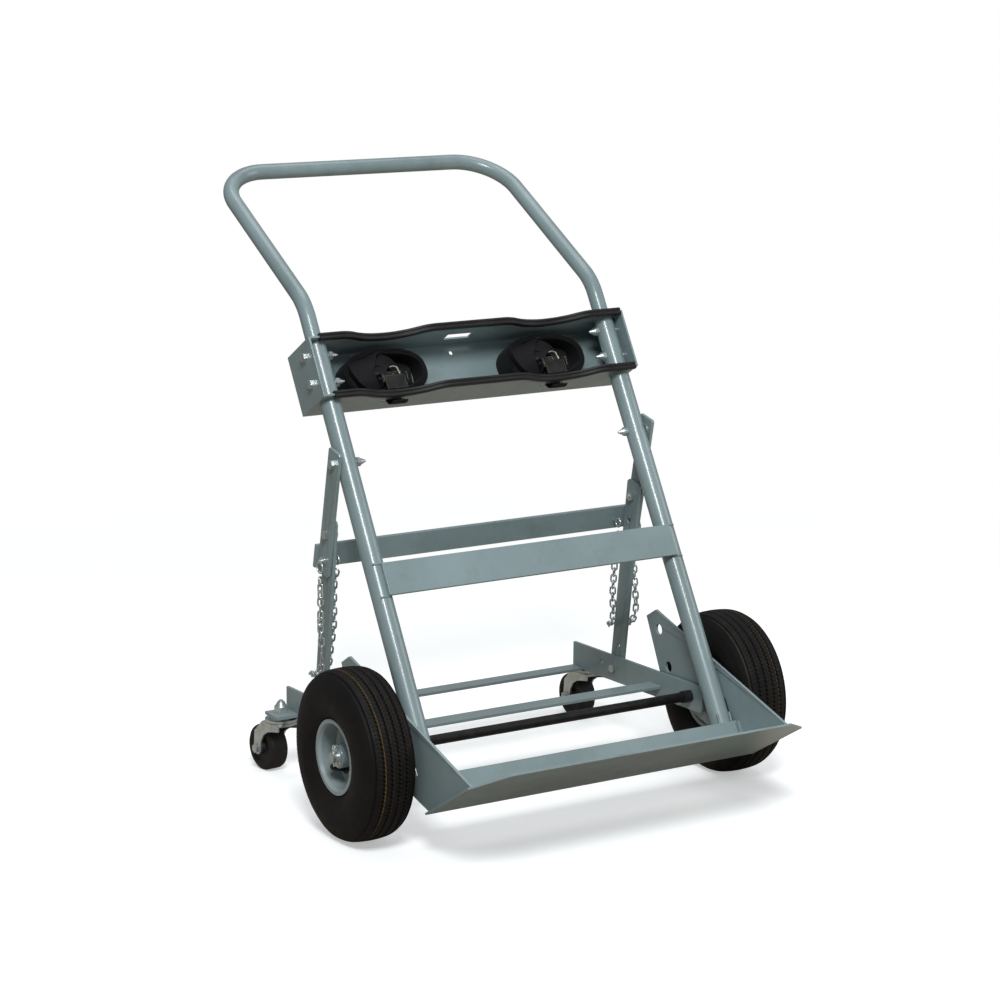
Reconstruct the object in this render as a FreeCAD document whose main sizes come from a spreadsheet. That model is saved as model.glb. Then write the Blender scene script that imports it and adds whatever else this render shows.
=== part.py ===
import FreeCAD, Part
import Sketcher
import math
import os

os.makedirs("parts", exist_ok=True)
V = FreeCAD.Vector
doc = FreeCAD.newDocument("torch_cart")
sheet = doc.addObject("Spreadsheet::Sheet", "Dims")


# ---------------------------------------------------------------- dimensions
class Q:
    """A size with its value and the spreadsheet expression it comes from."""

    def __init__(self, value, text):
        self.value = float(value)
        self.text = text

    def __add__(self, o):
        o = q(o)
        return Q(self.value + o.value, "(%s + %s)" % (self.text, o.text))

    def __radd__(self, o):
        return q(o) + self

    def __sub__(self, o):
        o = q(o)
        return Q(self.value - o.value, "(%s - %s)" % (self.text, o.text))

    def __rsub__(self, o):
        return q(o) - self

    def __mul__(self, o):
        o = q(o)
        return Q(self.value * o.value, "(%s * %s)" % (self.text, o.text))

    def __rmul__(self, o):
        return q(o) * self

    def __truediv__(self, o):
        o = q(o)
        return Q(self.value / o.value, "(%s / %s)" % (self.text, o.text))

    def __neg__(self):
        return Q(-self.value, "(0 - %s)" % self.text)


def q(v):
    return v if isinstance(v, Q) else Q(v, "(%.6f)" % float(v))


def root(v):
    v = q(v)
    return Q(math.sqrt(v.value), "sqrt(%s)" % v.text)


cells = []


def dim(alias, value, note):
    row = len(cells) + 1
    cells.append(alias)
    sheet.set("A%d" % row, alias)
    sheet.set("B%d" % row, repr(float(value)))
    sheet.setAlias("B%d" % row, alias)
    sheet.set("C%d" % row, note)
    return Q(value, "Dims." + alias)


# whole cart
axle_y = dim("axle_y", -156.18, "axle line, Y from the middle of the footprint")
axle_z = dim("axle_z", 130.0, "axle height above the floor")
lean = dim("lean", 30.53, "rails lean back from upright, degrees")
rail_foot = dim("rail_foot", 161.4, "rail axis meets the floor this far in front of the axle")
rail_x = dim("rail_x", 261.7, "rail axis, half spacing")
# rails and handle
rail_od = dim("rail_od", 31.75, "rail tube outside diameter")
rail_id = dim("rail_id", 25.65, "rail tube inside diameter")
rail_lo = dim("rail_lo", 84.0, "rail lower end, measured up the rail from the floor")
rail_hi = dim("rail_hi", 819.0, "rail upper end")
grip_od = dim("grip_od", 25.4, "handle tube outside diameter")
grip_id = dim("grip_id", 21.4, "handle tube inside diameter")
grip_lo = dim("grip_lo", 733.0, "handle leg end inside the rail")
grip_knee = dim("grip_knee", 886.3, "knee of the handle")
grip_tilt = dim("grip_tilt", 61.2, "upper handle legs from upright, degrees")
grip_reach = dim("grip_reach", 357.8, "knee to top bar")
knee_r = dim("knee_r", 90.0, "knee bend radius")
corner_r = dim("corner_r", 84.0, "top corner bend radius")
# cylinder bracket
br_lo = dim("br_lo", 722.0, "bracket underside along the rail")
br_hi = dim("br_hi", 820.0, "bracket top along the rail")
br_back = dim("br_back", 56.5, "bracket back plate behind the rail axis")
br_front = dim("br_front", 28.0, "bracket flange front edge ahead of the rail axis")
br_x = dim("br_x", 284.0, "bracket half width")
br_t = dim("br_t", 3.0, "bracket sheet")
bay_x = dim("bay_x", 145.0, "cylinder bay centre")
bay_r = dim("bay_r", 120.0, "cylinder rest radius")
bay_blend = dim("bay_blend", 60.0, "blend radius beside each rest")
bay_sag = dim("bay_sag", 22.0, "depth of each rest")
trim_out = dim("trim_out", 3.2, "edge trim ahead of the sheet edge")
trim_in = dim("trim_in", 6.0, "edge trim overlap on the sheet")
trim_h = dim("trim_h", 11.5, "edge trim height")
slot_w = dim("slot_w", 46.0, "tool slot width")
slot_d = dim("slot_d", 20.0, "tool slot depth")
strap_slot_w = dim("strap_slot_w", 42.0, "strap slot width")
back_hole = dim("back_hole", 7.0, "back plate hole diameter")
bolt_d = dim("bolt_d", 8.0, "bolt shank diameter")
bolt_hole = dim("bolt_hole", 8.2, "bolt hole diameter in fixed pieces")
pivot_hole = dim("pivot_hole", 8.1, "bolt hole diameter in pieces that turn on it")
bolt_hi = dim("bolt_hi", 797.0, "upper bracket bolt along the rail")
bolt_lo = dim("bolt_lo", 753.0, "lower bracket bolt along the rail")
hex_af = dim("hex_af", 13.0, "bolt and nut width across flats")
hex_k = dim("hex_k", 5.4, "bolt head height")
cap_k = dim("cap_k", 6.5, "cap nut hexagon height")
cap_h = dim("cap_h", 10.5, "cap nut cone height")
# front bar and nose
bar_lo = dim("bar_lo", 402.5, "front bar lower edge")
bar_hi = dim("bar_hi", 453.6, "front bar upper edge")
bar_t = dim("bar_t", 6.35, "front bar thickness")
bar_x = dim("bar_x", 258.0, "front bar half length")
lip_t = dim("lip_t", 3.0, "nose sheet")
heel_lo = dim("heel_lo", 69.5, "underside of the nose, measured up the rail")
lip_n = dim("lip_n", 205.0, "nose free edge ahead of the rail axis")
lip_x = dim("lip_x", 292.0, "nose half width")
lip_cut_x = dim("lip_cut_x", 49.0, "nose corner cut, across")
lip_cut_n = dim("lip_cut_n", 44.0, "nose corner cut, fore and aft")
heel_hi = dim("heel_hi", 125.0, "top of the nose back flange")
# side plates
sp_t = dim("sp_t", 4.75, "side plate thickness")
sp_x = dim("sp_x", 277.65, "side plate inner face")
sp_top = dim("sp_top", 351.0, "side plate top along the rail")
sp_a = dim("sp_a", 142.5, "side plate rear top corner behind the rail axis")
sp_b = dim("sp_b", 112.0, "side plate front top corner behind the rail axis")
sp_toe = dim("sp_toe", 153.0, "side plate toe ahead of the rail axis")
sp_hole = dim("sp_hole", 17.5, "side plate hole diameter")
# running gear
axle_d = dim("axle_d", 15.88, "axle diameter")
axle_half = dim("axle_half", 373.0, "axle half length")
wheel_x = dim("wheel_x", 333.5, "wheel centre from the middle")
tyre_r = dim("tyre_r", 130.0, "tyre radius")
tyre_w = dim("tyre_w", 90.0, "tyre width")
rim_r = dim("rim_r", 57.0, "rim flange radius")
hub_len = dim("hub_len", 57.0, "hub length")
# caster frame and linkage, Y measured from the axle
arm_x = dim("arm_x", 269.0, "arm inner face")
arm_t = dim("arm_t", 5.0, "arm thickness")
arm_len = dim("arm_len", 349.0, "arm reach behind the axle")
arm_w = dim("arm_w", 43.0, "arm depth")
arm_nose = dim("arm_nose", 34.0, "arm reach ahead of the axle")
joint1_y = dim("joint1_y", 223.0, "arm to link bolt behind the axle")
joint1_z = dim("joint1_z", 122.0, "arm to link bolt height")
joint2_y = dim("joint2_y", 180.0, "knuckle bolt behind the axle")
joint2_z = dim("joint2_z", 422.0, "knuckle bolt height")
joint3_s = dim("joint3_s", 622.0, "upper link bolt along the rail")
link_w = dim("link_w", 36.0, "link bar width")
link_t = dim("link_t", 5.0, "link bar thickness")
low_x = dim("low_x", 274.1, "lower link inner face")
upp_x = dim("upp_x", 279.4, "upper link inner face")
pin_drop = dim("pin_drop", 44.0, "lock pin below the knuckle along the upper link")
pin_d = dim("pin_d", 9.4, "lock pin shank diameter")
pin_hole = dim("pin_hole", 9.5, "lock pin hole diameter")
brace_h = dim("brace_h", 38.0, "rear crossbar height")
brace_t = dim("brace_t", 6.0, "rear crossbar thickness")
# casters
king_x = dim("king_x", 292.0, "caster kingpin from the middle")
king_y = dim("king_y", 332.0, "caster kingpin behind the axle")
king_d = dim("king_d", 12.0, "kingpin diameter")
trail = dim("trail", 40.0, "caster trail")
turn_left = dim("turn_left", 6.0, "left caster turned outwards at rest, degrees")
cw_r = dim("cw_r", 37.5, "caster wheel radius")
cw_w = dim("cw_w", 32.0, "caster wheel width")
fork_in = dim("fork_in", 18.6, "fork leg inner face from the middle of the wheel")
fork_t = dim("fork_t", 3.0, "fork sheet")
fork_top = dim("fork_top", 89.0, "fork crown top")
# straps
coil_x = dim("coil_x", 74.0, "coiled strap half length")
coil_h = dim("coil_h", 41.5, "coiled strap half height")
web_w = dim("web_w", 38.0, "webbing width")
web_t = dim("web_t", 8.0, "coiled webbing thickness")
doc.recompute()

# ---------------------------------------------------------------- helpers
LEAN = lean.value
UP = V(0, math.sin(math.radians(LEAN)), math.cos(math.radians(LEAN)))
FWD = V(0, -math.cos(math.radians(LEAN)), math.sin(math.radians(LEAN)))
FOOT = V(0, axle_y.value - rail_foot.value, 0)


def rail_point(x, s, n):
    """Row-frame point at x, s up the rail from the floor, n ahead of its axis."""
    return FOOT + V(x, 0, 0) + UP * s + FWD * n


nodes = {}
count = [0]


def uid(stem):
    count[0] += 1
    return "%s_%03d" % (stem, count[0])


def node(obj, name):
    obj.Label = name
    nodes[name] = obj
    return obj


def bind(obj, prop, value):
    value = q(value)
    obj.setExpression(prop, value.text)


def lean_frame(obj):
    """Local x, y, z are across, behind the rail axis, and up the rail."""
    obj.Placement = FreeCAD.Placement(V(0, axle_y.value - rail_foot.value, 0), FreeCAD.Rotation(V(1, 0, 0), -LEAN))
    bind(obj, "Placement.Base.y", axle_y - rail_foot)
    bind(obj, "Placement.Rotation.Angle", lean)
    obj.setExpression("Placement.Rotation.Axis.x", "-1")
    return obj


def axle_frame(obj, x=0.0, z=0.0):
    """Local origin under the axle line at floor height."""
    obj.Placement = FreeCAD.Placement(V(q(x).value, axle_y.value, q(z).value), FreeCAD.Rotation())
    bind(obj, "Placement.Base.x", x)
    bind(obj, "Placement.Base.y", axle_y)
    bind(obj, "Placement.Base.z", z)
    return obj


def plane(body, role):
    return [o for o in body.Origin.OriginFeatures if o.Role == role][0]


def sketch(body, role, offset, loops):
    """Closed loops: ("circle", x, y, r) or lists of ("line", x, y) and
    ("arc", mid_x, mid_y, hold, x, y) steps, the last one closing on the first.
    hold is a radius, or ("cx", x) or ("cy", y) for the centre of a half circle."""
    sk = body.newObject("Sketcher::SketchObject", uid("sketch"))
    sk.AttachmentSupport = [(plane(body, role), "")]
    sk.MapMode = "FlatFace"
    off = q(offset)
    sk.AttachmentOffset = FreeCAD.Placement(V(0, 0, off.value), FreeCAD.Rotation())
    bind(sk, "AttachmentOffset.Base.z", off)
    exprs = []
    for loop in loops:
        if loop[0] == "circle":
            _, x, y, r = loop
            x, y, r = q(x), q(y), q(r)
            g = sk.addGeometry(Part.Circle(V(x.value, y.value, 0), V(0, 0, 1), r.value), False)
            exprs.append((sk.addConstraint(Sketcher.Constraint("DistanceX", -1, 1, g, 3, x.value)), x))
            exprs.append((sk.addConstraint(Sketcher.Constraint("DistanceY", -1, 1, g, 3, y.value)), y))
            exprs.append((sk.addConstraint(Sketcher.Constraint("Radius", g, r.value)), r))
            continue
        pts = [(q(st[-2]), q(st[-1])) for st in loop]
        geo = []
        for i, st in enumerate(loop):
            p0 = pts[i - 1]
            p1 = pts[i]
            a = V(p0[0].value, p0[1].value, 0)
            b = V(p1[0].value, p1[1].value, 0)
            if st[0] == "line":
                geo.append((sk.addGeometry(Part.LineSegment(a, b), False), 1, 2, None))
            else:
                m = V(q(st[1]).value, q(st[2]).value, 0)
                arc = Part.Arc(a, m, b)
                g = sk.addGeometry(arc, False)
                e1 = sk.getPoint(g, 1)
                rule = st[3] if isinstance(st[3], tuple) else ("r", st[3])
                if (e1 - a).Length < (e1 - b).Length:
                    geo.append((g, 1, 2, rule))
                else:
                    geo.append((g, 2, 1, rule))
        k = len(geo)
        for i in range(k):
            g, s0, s1, _ = geo[i]
            h = geo[(i + 1) % k]
            sk.addConstraint(Sketcher.Constraint("Coincident", g, s1, h[0], h[1]))
        for i in range(k):
            g, s0, s1, rad = geo[i]
            x, y = pts[i]
            exprs.append((sk.addConstraint(Sketcher.Constraint("DistanceX", -1, 1, g, s1, x.value)), x))
            exprs.append((sk.addConstraint(Sketcher.Constraint("DistanceY", -1, 1, g, s1, y.value)), y))
            if rad is not None:
                how, val = rad[0], q(rad[1])
                if how == "r":
                    exprs.append((sk.addConstraint(Sketcher.Constraint("Radius", g, val.value)), val))
                else:
                    # half circles are held by their centre
                    kind = "DistanceX" if how == "cx" else "DistanceY"
                    exprs.append((sk.addConstraint(Sketcher.Constraint(kind, -1, 1, g, 3, val.value)), val))
    for idx, val in exprs:
        if "Dims" in val.text:
            sk.setExpression("Constraints[%d]" % idx, val.text)
    return sk


def pad(body, role, offset, loops, length):
    sk = sketch(body, role, offset, loops)
    f = body.newObject("PartDesign::Pad", uid("pad"))
    f.Profile = sk
    f.Length = q(length).value
    bind(f, "Length", length)
    body.Tip = f
    return f


def pocket(body, role, offset, loops, length, reverse=False):
    sk = sketch(body, role, offset, loops)
    f = body.newObject("PartDesign::Pocket", uid("pocket"))
    f.Profile = sk
    f.Length = q(length).value
    f.Reversed = reverse
    bind(f, "Length", length)
    body.Tip = f
    return f


def revolve(body, loops):
    sk = sketch(body, "XY_Plane", 0, loops)
    f = body.newObject("PartDesign::Revolution", uid("revolution"))
    f.Profile = sk
    f.ReferenceAxis = (sk, ["H_Axis"])
    f.Angle = 360
    body.Tip = f
    return f


def body(name):
    b = doc.addObject("PartDesign::Body", "body_" + name)
    return node(b, name)


def rect(x0, y0, x1, y1):
    return [("line", x1, y0), ("line", x1, y1), ("line", x0, y1), ("line", x0, y0)]


def poly(points):
    return [("line", x, y) for x, y in points[1:] + points[:1]]


AXES = {
    "x": FreeCAD.Rotation(V(0, 1, 0), 90),
    "-x": FreeCAD.Rotation(V(0, 1, 0), -90),
    "y": FreeCAD.Rotation(V(1, 0, 0), -90),
    "-y": FreeCAD.Rotation(V(1, 0, 0), 90),
    "z": FreeCAD.Rotation(),
    "-z": FreeCAD.Rotation(V(1, 0, 0), 180),
}


def put(obj, at, axis):
    at = [q(a) for a in at]
    obj.Placement = FreeCAD.Placement(V(*[a.value for a in at]), AXES[axis])
    for a, letter in zip(at, "xyz"):
        if "Dims" in a.text:
            bind(obj, "Placement.Base." + letter, a)
    return obj


def cyl(at, axis, r, h):
    o = doc.addObject("Part::Cylinder", uid("cylinder"))
    bind(o, "Radius", r)
    bind(o, "Height", h)
    return put(o, at, axis)


def cone(at, axis, r0, r1, h):
    o = doc.addObject("Part::Cone", uid("cone"))
    bind(o, "Radius1", r0)
    bind(o, "Radius2", r1)
    bind(o, "Height", h)
    return put(o, at, axis)


def hexagon(at, axis, across, h):
    o = doc.addObject("Part::Prism", uid("hexagon"))
    o.Polygon = 6
    bind(o, "Circumradius", q(across) / 1.7320508)
    bind(o, "Height", h)
    return put(o, at, axis)


def torus(at, axis, r0, r1):
    o = doc.addObject("Part::Torus", uid("torus"))
    bind(o, "Radius1", r0)
    bind(o, "Radius2", r1)
    return put(o, at, axis)


def box(at, size):
    o = doc.addObject("Part::Box", uid("box"))
    for prop, val in zip(("Length", "Width", "Height"), size):
        bind(o, prop, val)
    return put(o, at, "z")


def fuse(parts):
    o = doc.addObject("Part::MultiFuse", uid("fuse"))
    o.Shapes = parts
    return o


def cut(base, tools):
    o = doc.addObject("Part::Cut", uid("cut"))
    o.Base = base
    o.Tool = tools[0] if len(tools) == 1 else fuse(tools)
    return o


def group(parts):
    o = doc.addObject("Part::Compound", uid("group"))
    o.Links = parts
    return o


def tube(at, axis, ro, ri, h):
    return cut(cyl(at, axis, ro, h), [cyl(at, axis, ri, h)])


SIDES = (("left", -1.0, "-x", "x"), ("right", 1.0, "x", "-x"))

# ---------------------------------------------------------------- rails
for side, sg, outward, inward in SIDES:
    rx = sg * rail_x
    tools = [cyl((rx, 0, rail_lo), "z", rail_id / 2, rail_hi - rail_lo)]
    for s in (bolt_hi, bolt_lo, joint3_s):
        tools.append(cyl((rx - 20, 0, s), "x", bolt_hole / 2, 40))
    rail = cut(cyl((rx, 0, rail_lo), "z", rail_od / 2, rail_hi - rail_lo), tools)
    node(lean_frame(rail), "rail_" + side)

# ---------------------------------------------------------------- handle
tilt = math.radians(grip_tilt.value)
UPPER = V(0, math.sin(tilt), math.cos(tilt))
hx = rail_x.value


def bend(p_in, corner, p_out, r):
    """Arc of radius r tangent to both legs of a corner."""
    a = (p_in - corner).normalize()
    b = (p_out - corner).normalize()
    half = math.acos(a.dot(b)) / 2
    t = r / math.tan(half)
    bis = (a + b).normalize()
    mid = corner + bis * (r / math.sin(half) - r)
    return corner + a * t, mid, corner + b * t


def handle_wire():
    start_l = rail_point(-hx, grip_lo.value, 0)
    knee_l = rail_point(-hx, grip_knee.value, 0)
    top_l = knee_l + UPPER * grip_reach.value
    pts = [start_l, knee_l, top_l, V(-top_l.x, top_l.y, top_l.z), V(-knee_l.x, knee_l.y, knee_l.z), V(-start_l.x, start_l.y, start_l.z)]
    radii = [knee_r.value, corner_r.value, corner_r.value, knee_r.value]
    edges = []
    here = pts[0]
    for i in range(1, 5):
        a, m, b = bend(pts[i - 1], pts[i], pts[i + 1], radii[i - 1])
        edges.append(Part.makeLine(here, a))
        edges.append(Part.Arc(a, m, b).toShape())
        here = b
    edges.append(Part.makeLine(here, pts[5]))
    return Part.Wire(edges)


spine = handle_wire()
start = rail_point(-hx, grip_lo.value, 0)
rings = [Part.Wire(Part.makeCircle(d / 2.0, start, UP)) for d in (grip_od.value, grip_id.value)]
outer = spine.makePipeShell([rings[0]], True, True)
inner = spine.makePipeShell([rings[1]], True, True)
shape = outer.cut(inner)
for sg in (-1, 1):
    for s in (bolt_hi.value, bolt_lo.value):
        c = rail_point(sg * hx, s, 0)
        shape = shape.cut(Part.makeCylinder(bolt_hole.value / 2, 40, c - V(20, 0, 0), V(1, 0, 0)))
handle = doc.addObject("Part::Feature", "handle_tube")
handle.Shape = shape
handle.Placement = FreeCAD.Placement(V(0, 0, 0), FreeCAD.Rotation())
node(handle, "handle")

# ---------------------------------------------------------------- bracket
# Offset wave line of the flange front edge. Local y is behind the rail axis.


def wave(x_start, x_end, off, reverse=False):
    """Steps along the front edge from x_start to x_end, off ahead of the sheet edge."""
    big = bay_r - off
    small = bay_blend + off
    reach = root((bay_r + bay_blend) * (bay_r + bay_blend) - (bay_r + bay_blend - bay_sag) * (bay_r + bay_blend - bay_sag))
    flat = -(br_front + off)
    # centres in local y, which grows to the rear
    yc_big = -(br_front - bay_sag) - bay_r
    yc_small = -(br_front) + bay_blend
    frac = big / (bay_r + bay_blend)
    tx = reach * frac
    ty = yc_big + (yc_small - yc_big) * frac
    low = yc_big + big
    pts = []
    for c in (-bay_x, bay_x):
        a_mid = blend_mid(-1, c, reach, yc_small, small, bay_r + bay_blend, yc_big)
        b_mid = blend_mid(1, c, reach, yc_small, small, bay_r + bay_blend, yc_big)
        pts.append(("line", c - reach, flat))
        pts.append(("arc", a_mid[0], a_mid[1], small, c - tx, ty))
        pts.append(("arc", c, low, big, c + tx, ty))
        pts.append(("arc", b_mid[0], b_mid[1], small, c + reach, flat))
    pts.append(("line", x_end, flat))
    if not reverse:
        return pts, (x_start, flat)
    # walk it backwards: each step goes to the point before it
    ends = [(x_start, flat)] + [(p[-2], p[-1]) for p in pts]
    back = []
    for i in range(len(pts) - 1, -1, -1):
        p = pts[i]
        to = ends[i]
        if p[0] == "line":
            back.append(("line", to[0], to[1]))
        else:
            back.append(("arc", p[1], p[2], p[3], to[0], to[1]))
    return back, (x_end, flat)


def blend_mid(sgn, c, reach, yc_small, small, dist, yc_big):
    # middle of the blend arc between the flat and the rest circle
    cx = c.value + sgn * reach.value
    ux, uy = -sgn * reach.value, yc_big.value - yc_small.value
    ln = math.hypot(ux, uy)
    ux, uy = ux / ln, uy / ln
    mx, my = ux + 0.0, uy - 1.0
    ln = math.hypot(mx, my)
    return cx + small.value * mx / ln, yc_small.value + small.value * my / ln


def flange_loops(holes):
    steps, first = wave(-br_x, br_x, q(0))
    outline = steps + [("line", br_x, br_back), ("line", -br_x, br_back), ("line", first[0], first[1])]
    return [outline] + holes


b = body("cylinder_bracket")
rail_holes = [("circle", sg * rail_x, 0, rail_od / 2 + 0.3) for sg in (-1, 1)]
tool_slot = [rect(-slot_w / 2, 9, slot_w / 2, 9 + slot_d)]
pad(b, "XY_Plane", br_hi - br_t, flange_loops(rail_holes + tool_slot), br_t)
strap_slots = [rect(c - strap_slot_w / 2, 16, c + strap_slot_w / 2, 24) for c in (-bay_x, bay_x)]
pad(b, "XY_Plane", br_lo, flange_loops(rail_holes + strap_slots), br_t)
pad(b, "XZ_Plane", -br_back, [rect(-br_x, br_lo, br_x, br_hi), ("circle", 0, 803, back_hole / 2)], br_t)
for off in (-br_x, br_x - br_t):
    pad(b, "YZ_Plane", off, [rect(-br_front, br_lo, br_back, br_hi), ("circle", 0, bolt_hi, bolt_hole / 2), ("circle", 0, bolt_lo, bolt_hole / 2)], br_t)
lean_frame(b)

for name, mid, tr in (("bracket_trim_upper", br_hi - br_t / 2, br_x - 4.2), ("bracket_trim_lower", br_lo + br_t / 2, br_x - 5)):
    b = body(name)
    tl = -(br_x - 18)

    def band(front, rear):
        f, p0 = wave(tl, tr, front)
        r, p1 = wave(tl, tr, rear, True)
        return [f + [("line", p1[0], p1[1])] + r + [("line", p0[0], p0[1])]]

    half_gap = br_t / 2 + 0.05
    skin = trim_h / 2 - half_gap
    pad(b, "XY_Plane", mid - trim_h / 2, band(trim_out, -trim_in), skin)
    pad(b, "XY_Plane", mid - half_gap, band(trim_out, q(0.05)), half_gap * 2)
    pad(b, "XY_Plane", mid + half_gap, band(trim_out, -trim_in), skin)
    lean_frame(b)

# ---------------------------------------------------------------- straps and cam buckles
coil_s = br_lo + br_t + 0.4 + coil_h
front = br_back - br_t - 0.6 - web_w
for side, sg, outward, inward in SIDES:
    c = sg * bay_x
    b = body("strap_" + side)
    xr = coil_x - coil_h

    def stadium(r):
        return [
            ("line", c + xr, coil_s - r),
            ("arc", c + xr + r, coil_s, ("cx", c + xr), c + xr, coil_s + r),
            ("line", c - xr, coil_s + r),
            ("arc", c - xr - r, coil_s, ("cx", c - xr), c - xr, coil_s - r),
        ]

    pad(b, "XZ_Plane", -(front + web_w), [stadium(coil_h), stadium(coil_h - web_t)], web_w)
    lean_frame(b)

    bx = c + 2.0
    b = body("buckle_frame_" + side)
    pad(b, "XZ_Plane", -(front - 0.3), [rect(bx - 22, 729, bx + 22, 766)], 2)
    for off in (bx - 22, bx + 20):
        pad(b, "YZ_Plane", off, [[
            ("line", front - 20, 744), ("line", front - 20, 758), ("line", front - 1, 764), ("line", front - 1, 738)],
            ("circle", front - 13, 752, 2.05)], 2)
    lean_frame(b)

    b = body("buckle_lever_" + side)
    ly = front - 13
    pad(b, "YZ_Plane", bx - 25, [("circle", ly, 752, 2)], 50)
    pad(b, "YZ_Plane", bx - 18.5, [("circle", ly, 752, 5.5)], 37)
    pad(b, "YZ_Plane", bx - 17.5, [poly([(ly - 3.5, 752), (ly - 3.5, 732.5), (ly - 5.5, 730), (ly - 7.5, 732.5), (ly - 5.3, 752)])], 35)
    lean_frame(b)

# ---------------------------------------------------------------- bracket bolts


def cap_nut(at, axis, step):
    """Hexagon with a pointed cap and a blind bore; step is +1 or -1 along the axis."""
    x, y, z = at
    hx0 = hexagon(at, axis, hex_af, cap_k)
    tip = cone((x + step * cap_k, y, z), axis, hex_af / 2 - 0.3, 1.6, cap_h)
    return cut(fuse([hx0, tip]), [cyl(at, axis, bolt_d / 2 + 0.03, cap_k + 3)])


def head_bolt(at, axis, step, length):
    """Hexagon head at the point, shank running inwards."""
    x, y, z = at
    back = {"x": "-x", "-x": "x", "z": "-z", "-z": "z"}[axis]
    return fuse([hexagon(at, axis, hex_af, hex_k), cyl((x + step * 1.0, y, z), back, bolt_d / 2, length + 1.0)])


items = []
for side, sg, outward, inward in SIDES:
    for s in (bolt_hi, bolt_lo):
        items.append(head_bolt((sg * (br_x + 0.05), 0, s), outward, sg, br_x - rail_x + rail_od / 2 + cap_k + 2))
        items.append(cap_nut((sg * (rail_x - rail_od / 2 - 0.05), 0, s), inward, -sg))
node(lean_frame(group(items)), "bracket_bolts")

items = []
for side, sg, outward, inward in SIDES:
    face = upp_x + link_t
    items.append(head_bolt((sg * (face + 0.1), 0, joint3_s), outward, sg, face - rail_x + rail_od / 2 + cap_k + 2))
    items.append(cap_nut((sg * (rail_x - rail_od / 2 - 0.05), 0, joint3_s), inward, -sg))
    items.append(tube((sg * (rail_x + rail_od / 2 + 0.05), 0, joint3_s), outward, 9, bolt_d / 2 + 0.1, upp_x - rail_x - rail_od / 2 - 0.1))
node(lean_frame(group(items)), "link_pivot_bolts")

# ---------------------------------------------------------------- front bar, nose, side plates
b = body("front_crossbar")
pad(b, "YZ_Plane", -bar_x, [rect(-(rail_od / 2 + 0.05 + bar_t), bar_lo, -(rail_od / 2 + 0.05), bar_hi)], bar_x * 2)
lean_frame(b)

b = body("nose_plate")
n0 = rail_od / 2 + 0.05
# the lip is notched so the side plates can drop through it
na, nb = sp_x - 0.05, sp_x + sp_t + 0.05
toe = -(sp_toe + 0.1)
pad(b, "XY_Plane", heel_lo, [poly([
    (-lip_x, -n0), (-lip_x, -(lip_n - lip_cut_n)), (-(lip_x - lip_cut_x), -lip_n), (lip_x - lip_cut_x, -lip_n), (lip_x, -(lip_n - lip_cut_n)), (lip_x, -n0),
    (nb, -n0), (nb, toe), (na, toe), (na, -n0), (-na, -n0), (-na, toe), (-nb, toe), (-nb, -n0)])], lip_t)
pad(b, "YZ_Plane", -(sp_x - 0.1), [[
    ("line", -(n0 + lip_t), heel_hi), ("line", -(n0 + lip_t), heel_lo + lip_t + 4),
    ("arc", -(n0 + lip_t + 1.17), heel_lo + lip_t + 1.17, 4, -(n0 + lip_t + 4), heel_lo + lip_t),
    ("line", -(n0 + lip_t + 4), heel_lo + 0.5), ("line", -n0, heel_lo + 0.5), ("line", -n0, heel_hi)]], (sp_x - 0.1) * 2)
for off in (-(sp_x - 0.1), sp_x - 3.1):
    pad(b, "YZ_Plane", off, [rect(-(n0 + lip_t + 8), heel_lo + lip_t + 3, -(n0 + lip_t - 0.5), heel_hi - 3)], 3)
lean_frame(b)

# axle centre in the leaning frame
lean_r = math.radians(LEAN)
ax_s = rail_foot.value * math.sin(lean_r) + axle_z.value * math.cos(lean_r)
ax_n = -rail_foot.value * math.cos(lean_r) + axle_z.value * math.sin(lean_r)
ax_s_q = Q(ax_s, "(Dims.rail_foot * sin(Dims.lean) + Dims.axle_z * cos(Dims.lean))")
ax_n_q = Q(ax_n, "(Dims.axle_z * sin(Dims.lean) - Dims.rail_foot * cos(Dims.lean))")
for side, sg, outward, inward in SIDES:
    b = body("side_plate_" + side)
    off = sp_x if sg > 0 else -sp_x - sp_t
    lip_top = heel_lo + lip_t + 0.05
    pad(b, "YZ_Plane", off, [
        poly([(sp_a, sp_top), (sp_b, sp_top), (-sp_toe, lip_top), (-sp_toe, heel_lo), (-n0, heel_lo), (-(n0 - 4), lip_top), (152.0, 226.8), (150.5, 257.7)]),
        ("circle", -ax_n_q, ax_s_q, axle_d / 2 + 0.05),
        ("circle", 119.0, 319.4, sp_hole / 2),
        ("circle", 122.5, 256.4, sp_hole / 2),
        rect(-7.5, 131.0, 5.0, 166.0),
        ("circle", -4.5, 224.0, 2.3),
        ("circle", -4.5, 212.0, 2.3)], sp_t)
    lean_frame(b)

# ---------------------------------------------------------------- axle hardware
ax = cyl((-axle_half, 0, axle_z), "x", axle_d / 2, axle_half * 2)
pin_at = hub_len / 2 + wheel_x + 6.0
cross = [cyl((sg * pin_at, 0, axle_z - 10), "z", 1.8, 20) for sg in (-1, 1)]
node(axle_frame(cut(ax, cross)), "axle")

items = []
for side, sg, outward, inward in SIDES:
    g0 = sp_x + sp_t + 0.1
    items.append(tube((sg * g0, 0, axle_z), outward, 11, axle_d / 2 + 0.05, wheel_x - hub_len / 2 - 0.1 - g0))
    items.append(tube((sg * (arm_x - 16.1), 0, axle_z), outward, 9.8, axle_d / 2 + 0.05, 16))
node(axle_frame(group(items)), "axle_spacers")

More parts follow.
